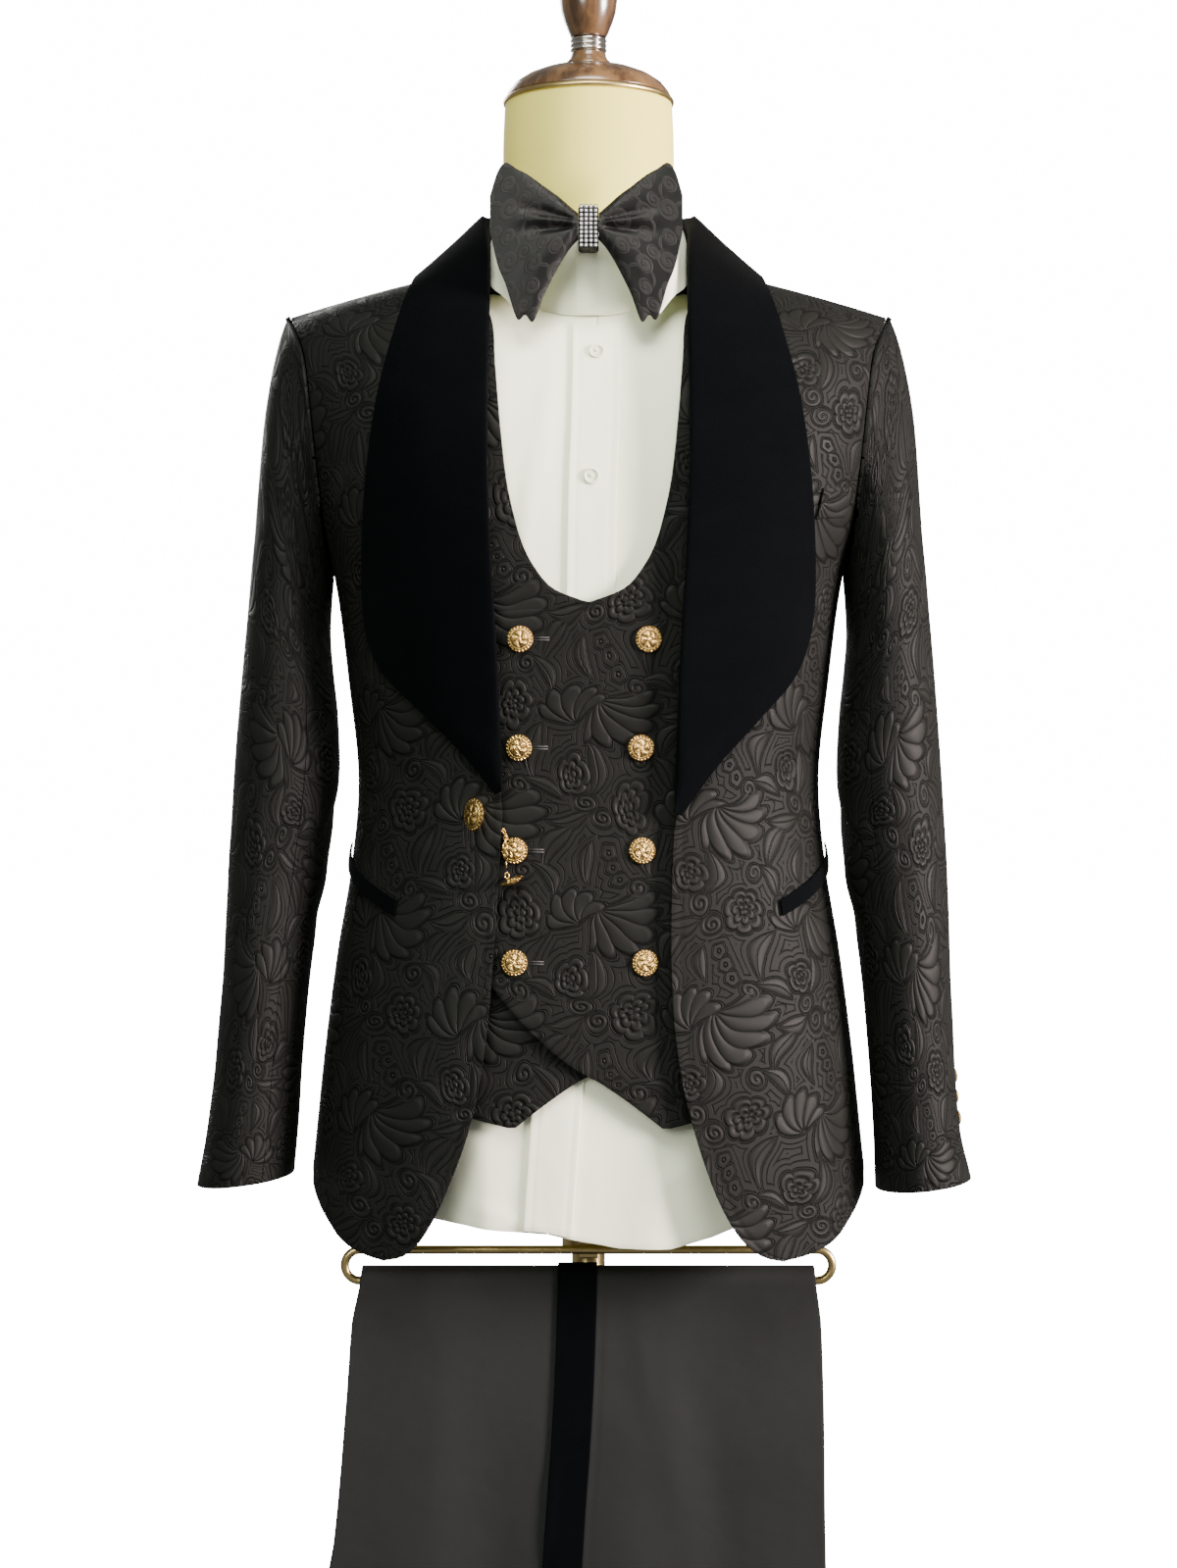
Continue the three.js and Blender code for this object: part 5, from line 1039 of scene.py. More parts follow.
SKIRT_WAVES = ((52, 7, 3.5), (84, 8, -3), (116, 9, 4), (150, 9, -3))
FRONT_PULLS = ((5.6, 0.02, 0.16, 52, 22, -0.9), (5.1, 0.01, 0.14, 48, 20, 0.8),
               (6.3, 0.028, 0.2, 56, 18, 0.8), (4.4, -0.012, 0.22, 60, 20, 0.7),
               (10.6, -0.03, 0.22, 62, 10, -0.8))
BACK_PULLS = ((5.7, 0.012, 0.18, 138, 26, 0.9), (5.0, 0.016, 0.16, 138, 26, -0.8),
              (6.5, 0.02, 0.2, 138, 26, 0.6), (9.8, -0.02, 0.25, 138, 26, -0.8))


def armhole_angle(row):
    if row < ARMHOLE_SEAM:
        return 90 - SCOOP * math.sqrt(max(0, row - UNDERARM))
    square = float(read(FIGURE["square"], row))
    return math.degrees(math.asin(min(1, float(read(ARMHOLE_REACH, row))) ** (1 / square)))


def jacket_hem(angle):
    return angle, level_of(JACKET, float(read_at(JACKET_HEM["angle"], JACKET_HEM["height"], angle)))


def skirt_waves(angle, row):
    return upright_folds(angle, SKIRT_WAVES) * soft(np.clip((5 - row) / 4, 0, 1))


def front_form(angle, row, u, v):
    """The skirt's waves, soft pulls from the button to the side, and a pressed groove along the edge."""
    pulls = slanting_folds(angle, row, FRONT_PULLS, 30)
    groove = mound(u, 0.035, 0.008) * np.clip((6.6 - row) * 2, 0, 1)
    return skirt_waves(angle, row) + pulls - 0.45 * groove


def back_form(angle, row, u, v):
    return skirt_waves(angle, row) + slanting_folds(angle, row, BACK_PULLS, 140)


def near_inner_edge(u, v):
    """More columns near the front edge, where the pressed groove runs."""
    return u ** 1.35, v


def armhole_line(side):
    return between(ARMHOLE_SEAM, SHOULDER, 12, lambda row: (side(armhole_angle(row)), row))


seam_turn = SEAM / 3
edge_rows = np.linspace(0, len(FRONT_EDGE["height"]) - 1, 31)
lapel_rows = np.arange(1, len(LAPEL["roll"]))
for side in ("right", "left"):
    low_tip = LEFT_TIP_LOWER if side == "left" else 0
    inner = [place(JACKET, float(read(FRONT_EDGE[side], t)),
                   float(read(FRONT_EDGE["height"], t)) - (low_tip * 0.8 if t == edge_rows[-1] else 0))
             for t in edge_rows]
    inner += [place(JACKET, float(LAPEL["roll"][k]) + LAPEL_TUCK,
                    float(LAPEL["roll_height"][k]) - (low_tip if k < 3 else 0)) for k in lapel_rows]
    inner += [place(JACKET, 81, 1448), (float(angle_of(JACKET, NECK_POINT, SHOULDER)), SHOULDER)]
    outer = [jacket_hem(SIDE_SEAM - seam_turn), (SIDE_SEAM - seam_turn, UNDERARM),
             *armhole_line(lambda a: a - seam_turn / 2)]
    edges = (through(inner), through(outer),
             through(between(inner[0][0], SIDE_SEAM - seam_turn, 12, jacket_hem)),
             through([inner[-1], outer[-1]]))
    cut_cloth(f"jacket_front_cloth_{side}", 56, 210,
              body_cut(JACKET, edges, shift=-SHOULDER_SEAM / 2, mirrored=side == "right",
                       out=front_form, spread=near_inner_edge),
              CLOTH["jacket"], brocade, f"jacket_front_{side}", slot="brocade", turned_over=side == "right")

    def scoop(angle):
        return angle, UNDERARM + ((angle - 90) / SCOOP) ** 2 - 0.006

    side_from = SIDE_SEAM + seam_turn
    side_to = 180 - side_from
    edges = (through([jacket_hem(side_from), scoop(side_from)]),
             through([jacket_hem(side_to), scoop(side_to)]),
             through(between(side_from, side_to, 8, jacket_hem)),
             through(between(side_from, side_to, 12, scoop)))
    waves = (lambda a, r, u, v: skirt_waves(a, r))
    cut_cloth(f"jacket_side_cloth_{side}", 26, 130,
              body_cut(JACKET, edges, mirrored=side == "right", out=waves), CLOTH["jacket"], brocade,
              f"jacket_side_{side}", slot="brocade", turned_over=side == "right")

    back_from, back_to = 180 - SIDE_SEAM + seam_turn, 180 - seam_turn
    back_outer = [jacket_hem(back_from), (back_from, UNDERARM),
                  *armhole_line(lambda a: 180 - a + seam_turn / 2)]

    def neckline(t):
        row = mix(SHOULDER, NAPE_ROW, t / 90)
        return 180 - float(angle_of(JACKET, max(0.3, NECK_POINT * math.cos(math.radians(t))), row)), row

    neck = between(0, 90, 8, neckline)
    neck[-1] = (back_to, NAPE_ROW)
    edges = (through(back_outer), through([jacket_hem(back_to), (back_to, NAPE_ROW)]),
             through(between(back_from, back_to, 10, jacket_hem)), through([back_outer[-1], *neck]))
    cut_cloth(f"jacket_back_cloth_{side}", 56, 150,
              body_cut(JACKET, edges, shift=SHOULDER_SEAM / 2, mirrored=side == "right",
                       centred=True, out=back_form),
              CLOTH["jacket"], brocade, f"jacket_back_{side}", slot="brocade", turned_over=side == "right")


# Sleeves. An upper and an under part each, set into the armholes, hanging just clear of the body.
SLEEVES = {
    "right": table("outer outer_height inner inner_height deep middle",
                   (226, 1427, 191.5, 1226, 50, 2), (237, 1398, 194.5, 1203, 56, 1),
                   (244, 1345, 195, 1184, 60, 0), (250, 1275, 193, 1160, 62, -1),
                   (257, 1190, 189, 1125, 63, -4), (264, 1105, 188, 1074, 61, -8),
                   (268, 1030, 197, 1010, 58, -13), (272, 950, 207, 943, 56, -19),
                   (277, 875, 213, 876, 54, -25), (283, 820, 216, 824, 54, -29),
                   (290, 779, 219, 787, 55, -32)),
    "left": table("outer outer_height inner inner_height deep middle",
                  (226, 1427, 191.5, 1226, 50, 2), (238, 1398, 194.5, 1203, 56, 1),
                  (245, 1345, 195, 1184, 60, 0), (250, 1275, 193, 1160, 62, -1),
                  (257, 1190, 189, 1125, 63, -4), (263, 1105, 187, 1074, 61, -8),
                  (267, 1030, 193, 1010, 58, -13), (270, 950, 203, 943, 56, -19),
                  (272, 875, 209, 872, 54, -26), (275, 822, 212, 818, 54, -32),
                  (283, 785, 213, 776, 55, -36))}
SLEEVE_START, SLEEVE_ROUND, SLEEVE_RING = 2.8, 370, 64
SLEEVE_FOLDS = ((0.98, 5.3, 0.10, 0.28, 0.9, -1.6), (0.06, 5.9, 0.12, 0.24, -0.8, 1.5),
                (0.95, 6.4, 0.11, 0.22, 0.7, -1.4), (0.2, 4.6, 0.12, 0.3, 1.1, -1.2),
                (0.3, 2.2, 0.1, 0.3, 1.5, -1.1), (0.7, 2.5, 0.12, 0.35, -1.4, -1.2),
                (0.75, 6.2, 0.14, 0.26, 0.8, 1.1), (0.42, 7.3, 0.2, 0.3, -0.5, -0.8),
                (0.62, 8.4, 0.16, 0.3, 0.4, -0.8), (0.33, 5.6, 0.13, 0.25, 0.9, 0.9))


def sleeve_point(side, round_it, ring):
    """Round 0 is under the arm, 0.25 the front, 0.5 the outside and 0.75 behind."""
    rows = SLEEVES[side]
    turn = math.tau * round_it
    reach = (1 - np.cos(turn)) / 2
    full = np.sign(np.sin(turn)) * np.abs(np.sin(turn)) ** 0.92
    free = np.stack([mix(read(rows["inner"], ring), read(rows["outer"], ring), reach),
                     read(rows["middle"], ring) - read(rows["deep"], ring) * full,
                     mix(read(rows["inner_height"], ring), read(rows["outer_height"], ring), reach)], -1)
    join = soft(np.clip(ring / 2, 0, 1))[..., None]
    row = mix(UNDERARM, SHOULDER, reach)
    angle = np.interp(row, armhole_rows, armhole_angles)
    seam = body_point(JACKET, np.where(round_it % 1 > 0.5, 180 - angle, angle), row)
    seam[..., 0] += SLEEVE_START
    return mix(seam, free, join)


armhole_rows = np.linspace(UNDERARM, SHOULDER, 701)
armhole_angles = np.array([armhole_angle(row) for row in armhole_rows])


def normals_of(surface, u, v, step=0.004):
    """The directions square to a surface(u, v), from nearby points."""
    u0, u1, v0, v1 = (np.clip(x, 0, 1) for x in (u - step, u + step, v - step, v + step))
    return unit(np.cross(surface(u1, v) - surface(u0, v), surface(u, v1) - surface(u, v0)))


def sleeve_cut(side, start, end):
    last = len(SLEEVES[side]["outer"]) - 1

    def surface(u, v):
        return sleeve_point(side, (mix(start, end, u) + 1) % 1, v * last)

    def shape(u, v):
        u = mix(0.0022, 1 - 0.0022, u)
        round_it, ring = (mix(start, end, u) + 1) % 1, v * last
        away = (round_it - np.array([f[0] for f in SLEEVE_FOLDS])[:, None] + 0.5) % 1 - 0.5
        folds = sum(deep * mound(ring - lean * away[k] * 4, at, reach * 2) * mound(away[k], 0, wide * 0.5)
                    for k, (_, at, reach, wide, lean, deep) in enumerate(SLEEVE_FOLDS))
        fade = np.clip(u * 8, 0, 1) * np.clip((1 - u) * 8, 0, 1)
        points = surface(u, v) - normals_of(surface, u, v) * (folds * fade)[:, None]
        if side == "right":
            points[:, 0] *= -1
        across = round_it if start >= 0 else (round_it + 0.5) % 1 - 0.5
        return points, np.stack([across * SLEEVE_ROUND, 1400 - ring * SLEEVE_RING], -1)

    return shape


for side in ("right", "left"):
    for part, (start, end), across in (("upper", (0.17, 0.8), 76), ("under", (-0.2, 0.17), 46)):
        cut_cloth(f"sleeve_{part}_cloth_{side}", across, 150, sleeve_cut(side, start, end), CLOTH["jacket"],
                  brocade, f"sleeve_{part}_{side}", slot="brocade", turned_over=side == "left",
                  rests_on=(f"jacket_front_cloth_{side}",))


# Shawl collar. Two strips of black velvet that rise inside the neck, roll over and lie wide on the fronts.
def velvet_finish():
    material, tree, shader, cut = new_material("black_velvet", (0.0012, 0.0012, 0.0018), 0.95,
                                               Sheen_Weight=0.012,
                                               Sheen_Roughness=0.4, Specular_IOR_Level=0.03)
    nap = noise(tree, cut, 30, 5, 0.6)
    pile = noise(tree, cut, 1500, 2)
    colour_between(tree, shader, nap, (0.0004, 0.0006, 0.0008), (0.0012, 0.0016, 0.0021))
    raise_surface(tree, shader, nap * 0.6 + pile * 0.5, 0.0006, 0.5)
    return material


velvet = velvet_finish()
COLLAR_STATIONS = (([73, -44, 1466], 130, "front", 1438, [78, -40, 1455]),
                   ([75.5, 4, 1497], 125, "front", 1470, [80, 8, 1470]),
                   ([72, 26, 1502], 119, "back", 1447, [74, 28.5, 1471]),
                   ([62.2, 44.4, 1505], 98, "back", 1436, [62.5, 47.5, 1472]),
                   ([34, 68, 1509], 52, "back", 1427, [34.6, 71, 1472]),
                   ([0.3, 74.6, 1510], 0.3, "back", 1424, [0.3, 77, 1472]))


def shawl_profiles(side):
    low = LEFT_TIP_LOWER if side == "left" else 0

    def on_jacket(x, z, half):
        angle, row = place(JACKET, x, z)
        return body_point(JACKET, 180 - angle if half == "back" else angle, row)

    stations = []
    for i in range(len(LAPEL["roll"])):
        drop = low * min(1, max(0, 1 - i / 4))
        ends = [LAPEL[c][i] for c in ("roll", "edge", "roll_height", "edge_height")]
        stations.append((lambda f, e=ends, d=drop:
                         on_jacket(mix(e[0], e[1], f), mix(e[2], e[3], f) - d, "front"), None))
    for roll, edge_x, half, edge_z, seam in COLLAR_STATIONS:
        ends = (np.array(roll, float), on_jacket(edge_x, edge_z, half))
        stations.append((lambda f, e=ends: mix(e[0], e[1], f), np.array(seam, float)))
    profiles = []
    for i, (on, seam) in enumerate(stations):
        before, after = stations[max(0, i - 1)][0], stations[min(len(stations) - 1, i + 1)][0]
        size = min(1, max(0.25, np.linalg.norm(on(0) - on(1)) / 30))
        rest = CLOTH["velvet"] + (1 if seam is None else 2.4)

        def at(f, inward, lift):
            across = unit(on(max(0, f - 0.05)) - on(min(1, f + 0.05)))
            out = unit(np.cross(after(f) - before(f), across))
            return on(f) + across * inward + out * lift

        profiles.append([at(0, -0.4, 0.2) if seam is None else seam,
                         at(0, 0.3, 1.8) if seam is None else at(0, -0.5, -3), at(0, 0.6 * size, rest + 1.6),
                         at(0, -5 * size, rest + 3.6 * size), at(0.5, 0, rest + 2.6 * size),
                         at(0.8, 0, rest + 1.2 * size), at(1, 0, rest)])
    return np.array(profiles)


def shawl_cut(side):
    profiles = shawl_profiles(side)
    lay = np.cumsum(np.r_[0, np.linalg.norm(np.diff(profiles[:, 4], axis=0), axis=1)])

    def surface(u, v):
        at, across = v * (len(profiles) - 1), u * 6
        columns = np.stack([np.stack([read(profiles[:, k, axis], at) for axis in range(3)], -1)
                            for k in range(7)], 1)
        i = np.clip(np.floor(across).astype(int), 0, 5)
        t = (across - i)[:, None]
        n = np.arange(len(u))
        b, c = columns[n, i], columns[n, i + 1]
        before = np.where(i[:, None] == 0, c - b, (c - columns[n, np.maximum(i - 1, 0)]) / 2)
        after = np.where(i[:, None] == 5, c - b, (columns[n, np.minimum(i + 2, 6)] - b) / 2)
        return curve_between(b, c, before, after, t)

    def shape(u, v):
        points = surface(u, v)
        points[:, 0] = np.maximum(SEAM / 2, points[:, 0])
        if side == "right":
            points[:, 0] *= -1
        along = np.interp(v * (len(profiles) - 1), np.arange(len(profiles)), lay)
        return points, np.stack([u * 110, along], -1)

    return shape


for side in ("right", "left"):
    cut_cloth(f"shawl_collar_velvet_{side}", 40, 200, shawl_cut(side), CLOTH["velvet"], velvet,
              f"shawl_collar_{side}", slot="velvet", turned_over=side == "right",
              rests_on=(f"jacket_front_cloth_{side}",), soft=0.7)


# Pockets. A slanting velvet welt on each hip and a brocade welt on the wearer's left breast.
def welt_cut(corners, out, thick, mirrored=False):
    def shape(u, v):
        a, b, c, d = corners
        angle = mix(mix(a[0], b[0], u), mix(d[0], c[0], u), v)
        height = mix(mix(a[1], b[1], u), mix(d[1], c[1], u), v)
        row = row_of(JACKET, np.zeros_like(height), height)
        puffed = 0.5 * np.sin(math.pi * v) ** 0.5
        points = moved_out(JACKET, angle, row, out + thick + skirt_waves(angle, row) + puffed)
        if mirrored:
            points[:, 0] *= -1
        across, up = lengths[JACKET](angle, row)
        return points, np.stack([-across if mirrored else across, up], -1)

    return shape


for side in ("right", "left"):
    hip = welt_cut([(46, 979), (90, 1019), (90, 1031), (46, 991)], WELT_GAP, 1.4, mirrored=side == "right")
    cut_cloth(f"hip_welt_velvet_{side}", 60, 10, hip, 1.4, velvet, f"hip_pocket_{side}", slot="velvet",
              turned_over=side == "right", held="stretched", rests_on=(f"jacket_front_cloth_{side}",))
breast = welt_cut([(51.6, 1269), (65, 1273), (65, 1297), (51.6, 1293)], 0.7, 1.3)
cut_cloth("breast_welt_cloth", 40, 14, breast, 1.3, brocade, "breast_pocket", slot="brocade",
          held="stretched", rests_on=("jacket_front_cloth_left",))


# Buttons. Domed antique-gold buttons on short backs, sewn square to the cloth, and thread-sewn buttonholes.
def gold_finish():
    material, tree, shader, spot = new_material("antique_gold", (0.72, 0.5, 0.2), 0.3, 1.0)
    x, y = parts_of(spot)
    far = (x * x + y * y).math("SQRT")
    turn = x.math("ARCTAN2", y)
    petals = (turn * 5 + far * 4).sine() * 0.5 + 0.5
    ring = far.hump(0.74, 0.07)
    beads = ((turn * 22).sine() * 0.5 + 0.5) * far.hump(0.88, 0.09)
    heart = far.hump(0, 0.2)
    leaves = petals * far.rise(0.16, 0.3) * (1 - far.rise(0.55, 0.68))
    grain = noise(tree, spot, 5, 5, 0.75)
    height = ring * 0.6 + beads * 0.8 + heart * 0.8 + leaves * 0.9 + grain * 1.1
    worn = height.rise(0.45, 1.15)
    colour_between(tree, shader, worn, (0.07, 0.038, 0.01), (0.72, 0.47, 0.15))
    tree.links.new((0.5 - worn * 0.26).socket, shader.inputs["Roughness"])
    raise_surface(tree, shader, height, 0.0009, 1.0)
    return material


gold = gold_finish()
thread = new_material("black_thread", (0.02, 0.019, 0.018), 0.6)[0]


def facing_of(share, x, height):
    """The direction that a garment faces at a place."""
    angle, row = place(share, x, height)
    return body_normal(share, angle, row)


DOME = ((0, 0), (0.5, 0), (0.5, 0.22), (0.93, 0.26), (1, 0.34), (0.985, 0.44), (0.93, 0.5), (0.89, 0.52),
        (0.86, 0.5), (0.82, 0.56), (0.72, 0.72), (0.56, 0.86), (0.38, 0.95), (0.2, 0.99), (0, 1))
DISC = ((0, 0), (0.96, 0), (1, 0.3), (1, 0.7), (0.94, 0.95), (0.84, 1), (0.76, 0.86), (0.68, 0.62),
        (0.5, 0.56), (0, 0.54))


def seated(node, facing, high):
    """The point behind the middle of a solid where the back of its button rests, in metres."""
    return Vector(np.mean(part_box(node), axis=0)) - Vector(facing) * high / 2000


def button(name, outline, radius, high, facing, material, *nodes, slot, turn=0.0, back=None):
    """A turned button, its outline in shares of its radius and height, in its solid's place or at back."""
    back = seated(nodes[0], facing, high) if back is None else back
    mesh = spun(outline, 36, radius, high)
    layer = mesh.loops.layers.uv.new("face")
    for face in mesh.faces:
        for loop in face.loops:
            loop[layer].uv = loop.vert.co.xy * (1000 / radius)
    swing = Vector(facing).to_track_quat("Z", "Y").to_matrix().to_4x4()
    bmesh.ops.transform(mesh, matrix=Matrix.Translation(back) @ swing @ Matrix.Rotation(turn, 4, "Z"),
                        verts=mesh.verts)
    return as_piece(name, mesh, material, *nodes, slot=slot)


def stitch(name, start, end, radius, slot):
    """A straight bar of thread between two points in metres."""
    start, end = Vector(start), Vector(end)
    mesh = bmesh.new()
    along = (end - start).to_track_quat("Z", "Y").to_matrix().to_4x4()
    bmesh.ops.create_cone(mesh, cap_ends=True, segments=8, radius1=radius, radius2=radius,
                          depth=(end - start).length)
    bmesh.ops.transform(mesh, matrix=Matrix.Translation((start + end) / 2) @ along, verts=mesh.verts)
    return as_piece(name, mesh, thread, slot=slot)


WAIST_BUTTONS = ((1179, -49, 43), (1101, -50, 37.5), (1027, -53, 38.5), (947, -53, 40.5))
for i, (height, right, left) in enumerate(WAIST_BUTTONS, 1):
    for side, x in (("right", right), ("left", left)):
        node = f"waistcoat_button_{side}_{i}"
        facing = facing_of(WAISTCOAT, x, height)
        button(f"domed_button_{side}_{i}", DOME, 9.8, 5.2, facing, gold, node, slot="gold", turn=i * 1.3 + x)
    for row, lift in enumerate((0.9, -0.9)):
        ends = []
        for x in (right + 9, right + 21):
            angle, level = place(WAISTCOAT, x, height + lift)
            ends.append(moved_out(WAISTCOAT, angle, level, 0.3) / 1000)
        stitch(f"buttonhole_thread_{i}_{row}", ends[0], ends[1], 0.00055, "brocade")
DISC_HIGH = 2.4
for i, (x, height) in enumerate(((5.7, 1388), (2, 1296)), 1):
    facing = facing_of(SHIRT, x, height)
    button(f"shirt_disc_{i}", DISC, 5.8, DISC_HIGH, facing, cotton, f"shirt_button_{i}", slot="shirt")
    middle = seated(f"shirt_button_{i}", facing, DISC_HIGH) + Vector(facing) * 0.0019
    for k, (a, b) in enumerate((((-1.1, -1.1), (1.1, 1.1)), ((-1.1, 1.1), (1.1, -1.1)))):
        bar = stitch(f"shirt_button_thread_{i}_{k}", middle + Vector((a[0], 0, a[1])) / 1000,
                     middle + Vector((b[0], 0, b[1])) / 1000, 0.00035, "shirt")
        bar.data.materials[0] = cotton
for side in ("right", "left"):
    for i in (1, 2, 3):
        node = f"cuff_button_{side}_{i}"
        round_it, height = {"right": 0.64, "left": 0.545}[side], {1: 856, 2: 840.5, 3: 825}[i]
        low, high = 5.0, float(len(SLEEVES[side]["outer"]) - 1)
        for _ in range(30):
            ring = (low + high) / 2
            low, high = (ring, high) if sleeve_point(side, round_it, ring)[2] > height else (low, ring)
        surface = (lambda u, v, side=side: sleeve_point(side, u, v * 10))
        at = np.array([round_it]), np.array([low / 10])
        facing = -normals_of(surface, *at)[0]
        if side == "right":
            facing[0] *= -1
        button(f"cuff_dome_{side}_{i}", DOME, 7.3, 5, facing, gold, node, slot="gold", turn=i)


# Link. A large button on the right front, and a chain with a second button that hangs behind its edge.
shank_way = Vector(facing_of(JACKET, -79, 1053))
link_facing = Matrix.Rotation(math.radians(-38), 3, "Z") @ shank_way
button("link_button", DOME, 12, 5.5, link_facing, gold, "jacket_button", slot="gold")


def ring_mesh(mesh, radius, wire, matrix):
    """Adds a wire ring to a mesh."""
    upright = Matrix.Rotation(math.pi / 2, 4, "X")
    start = bmesh.ops.create_circle(mesh, segments=8, radius=wire,
                                    matrix=Matrix.Translation((radius, 0, 0)) @ upright)
    verts = start["verts"]
    edges = list({edge for vert in verts for edge in vert.link_edges})
    before = set(mesh.verts) - set(verts)
    bmesh.ops.spin(mesh, geom=verts + edges, cent=(0, 0, 0), axis=(0, 0, 1), angle=math.tau, steps=20,
                   use_merge=True)
    new = [vert for vert in mesh.verts if vert not in before]
    bmesh.ops.transform(mesh, matrix=matrix, verts=new)


LINK_ROUTE = np.array(((-63.6, -105.8, 1043), (-59.4, -107.6, 1038.5), (-59.6, -113.3, 1030),
                       (-58, -113.8, 1005.5)))


def along_route(share):
    return Vector([float(read(LINK_ROUTE[:, axis], share * 3)) for axis in range(3)]) / 1000


CHAIN_RINGS = 10
chain = bmesh.new()
for i in range(CHAIN_RINGS):
    at = (i + 0.5) / CHAIN_RINGS
    way = (along_route(min(1, at + 0.02)) - along_route(at - 0.02)).normalized()
    swing = way.to_track_quat("X", "Z").to_matrix().to_4x4()
    ring_mesh(chain, 0.0015, 0.00055, Matrix.Translation(along_route(at)) @ swing @ Matrix.Rotation(
        (i % 2) * math.pi / 2, 4, "X") @ Matrix.Diagonal((1.45, 1, 1, 1)))
bmesh.ops.recalc_face_normals(chain, faces=chain.faces)
as_piece("link_rings", chain, gold, "link_chain", slot="gold")
button("link_second_button", DOME, 9, 4, Vector((0.38, 0.12, -0.92)).normalized(), gold, slot="gold",
       back=Vector((-55.3, -114.6, 1007.5)) / 1000)


# Bow tie. Two pleated wings of black figured satin, a knot of the same and a band of crystals round the knot.
def scrolls_pattern():
    """Scrolls with small curled tendrils, repeated over the satin."""
    tree, given, leave = new_group("satin_scrolls", {"Cut": None}, ["Height"])
    curls = ((8, 9, 0, 8.5, 1.7), (26, 20, 120, 7, 1.6), (9, 27, 60, 6, 1.5), (27, 4, 200, 6, 1.5),
             (18, 33, 20, 5, 1.4), (33, 31, 250, 5.5, 1.5))
    leaves = ((18, 14, 30, 9), (4, 20, 100, 8), (31, 13, -60, 8), (20, 26, -20, 7))
    rows = [("scroll", *where, {"Winds": winds}) for *where, winds in curls]
    rows += [("leaf", *where, {"Slim": 0.16, "Bend": 0.5}) for where in leaves]
    height = None
    for row in rows:
        found = placed_motif(given["Cut"], *row, Wide=36.0, Tall=38.0)["Height"]
        height = height.higher(found) if height else found
    tree.links.new(height.socket, leave.inputs["Height"])
    return tree


def satin_finish():
    material, tree, shader, cut = new_material("figured_satin", (0.009, 0.009, 0.0085), 0.42,
                                               Specular_IOR_Level=0.16)
    scrolls = place_group(tree, place_scrolls, Cut=cut)["Height"]
    colour_between(tree, shader, scrolls.rise(0.1, 0.6), (0.0045, 0.0048, 0.0045), (0.0105, 0.01, 0.0092))
    tree.links.new((0.42 + scrolls.rise(0.1, 0.6) * 0.15).socket, shader.inputs["Roughness"])
    raise_surface(tree, shader, scrolls + noise(tree, cut, 2500, 1, stretch=(1, 0.1, 1)) * 0.15, 0.0002, 0.8)
    return material


place_scrolls = scrolls_pattern()
satin = satin_finish()
KNOT = {"half": 7.4, "z": 1477.5, "tall": 31, "front": -97, "back": -67.2}
BOW_PLANE = -92
WING = table("x top bottom",
             (7.8, 1487, 1468), (14, 1492, 1461), (22, 1499, 1448), (32, 1506, 1429), (40, 1512, 1409),
             (46, 1516, 1413.5), (52, 1519, 1411), (60, 1523.5, 1435), (66, 1517, 1450), (71.5, 1500, 1474))
# A wing's pleats run out from the knot: each one's slope in degrees, half width in degrees, and height.
PLEATS = ((31, 10, 2.2), (14, 4.5, -3.2), (6.5, 4, 2.4), (-3, 4.5, -3.4), (-27, 14, 1.6))


def wing_shape(turn, size):
    def shape(u, v):
        """u runs round the wing, down its front and back up behind it; v runs out from the knot."""
        front = u <= 0.5
        down = np.where(front, u * 2, 2 - u * 2)
        at = v * (len(WING["x"]) - 1)
        x, top, bottom = (read(WING[c], at) for c in ("x", "top", "bottom"))
        slope = np.degrees(np.arctan2(mix(top, bottom, down) - KNOT["z"], x + 8))
        fade = soft(np.clip(v * 5, 0, 1)) * (1 - soft(np.clip((x - 26) / 36, 0, 1)))
        relief = sum(deep * mound(slope, middle, reach) for middle, reach, deep in PLEATS) * fade
        edge = np.sin(math.pi * np.clip(down, 0.004, 0.996)) ** 0.5
        body = 1.2 + 6.3 * edge * (1 - 0.5 * v) * soft(np.clip(1.15 - v, 0, 1) * 0.87)
        y = np.where(front, BOW_PLANE - body - relief * edge, BOW_PLANE + 0.6 + 3.5 * edge * (1 - v))
        return np.stack([turn * (KNOT["half"] + 0.1 + (x - 7.8) * size), y, mix(top, bottom, down)], -1)

    return shape


def lay_satin(piece, place_at):
    """Gives each corner of a padded piece its place on the satin, in metres."""
    layer = piece.data.uv_layers.new(name="cut")
    for loop in piece.data.loops:
        layer.data[loop.index].uv = place_at(piece.data.vertices[loop.vertex_index].co)


for side, turn, size in (("right", -1, 1), ("left", 1, 0.95)):
    wing = wrapped(f"bow_satin_{side}", 150, 90, wing_shape(turn, size), satin, f"bow_wing_{side}",
                   slot="satin")
    lay_satin(wing, lambda spot, turn=turn: (spot.x * turn * 1.05 + 0.2, spot.z + spot.x * turn * 0.35))


KNOT_MIDDLE_Y = (KNOT["front"] + KNOT["back"]) / 2
KNOT_HALF_Y = (KNOT["back"] - KNOT["front"]) / 2


def knot_shape(u, v):
    """A soft loop in the upright plane, drawn in slightly at both rims."""
    angle = math.tau * u
    y, z = -np.cos(angle), np.sin(angle)
    bulge = (np.abs(y) ** 6 + np.abs(z) ** 6) ** (-1 / 6)
    rim = 1 - 0.1 * np.abs(v * 2 - 1) ** 6
    return np.stack([(v * 2 - 1) * KNOT["half"], KNOT_MIDDLE_Y + KNOT_HALF_Y * y * bulge * rim,
                     KNOT["z"] + KNOT["tall"] / 2 * z * bulge * rim], -1)


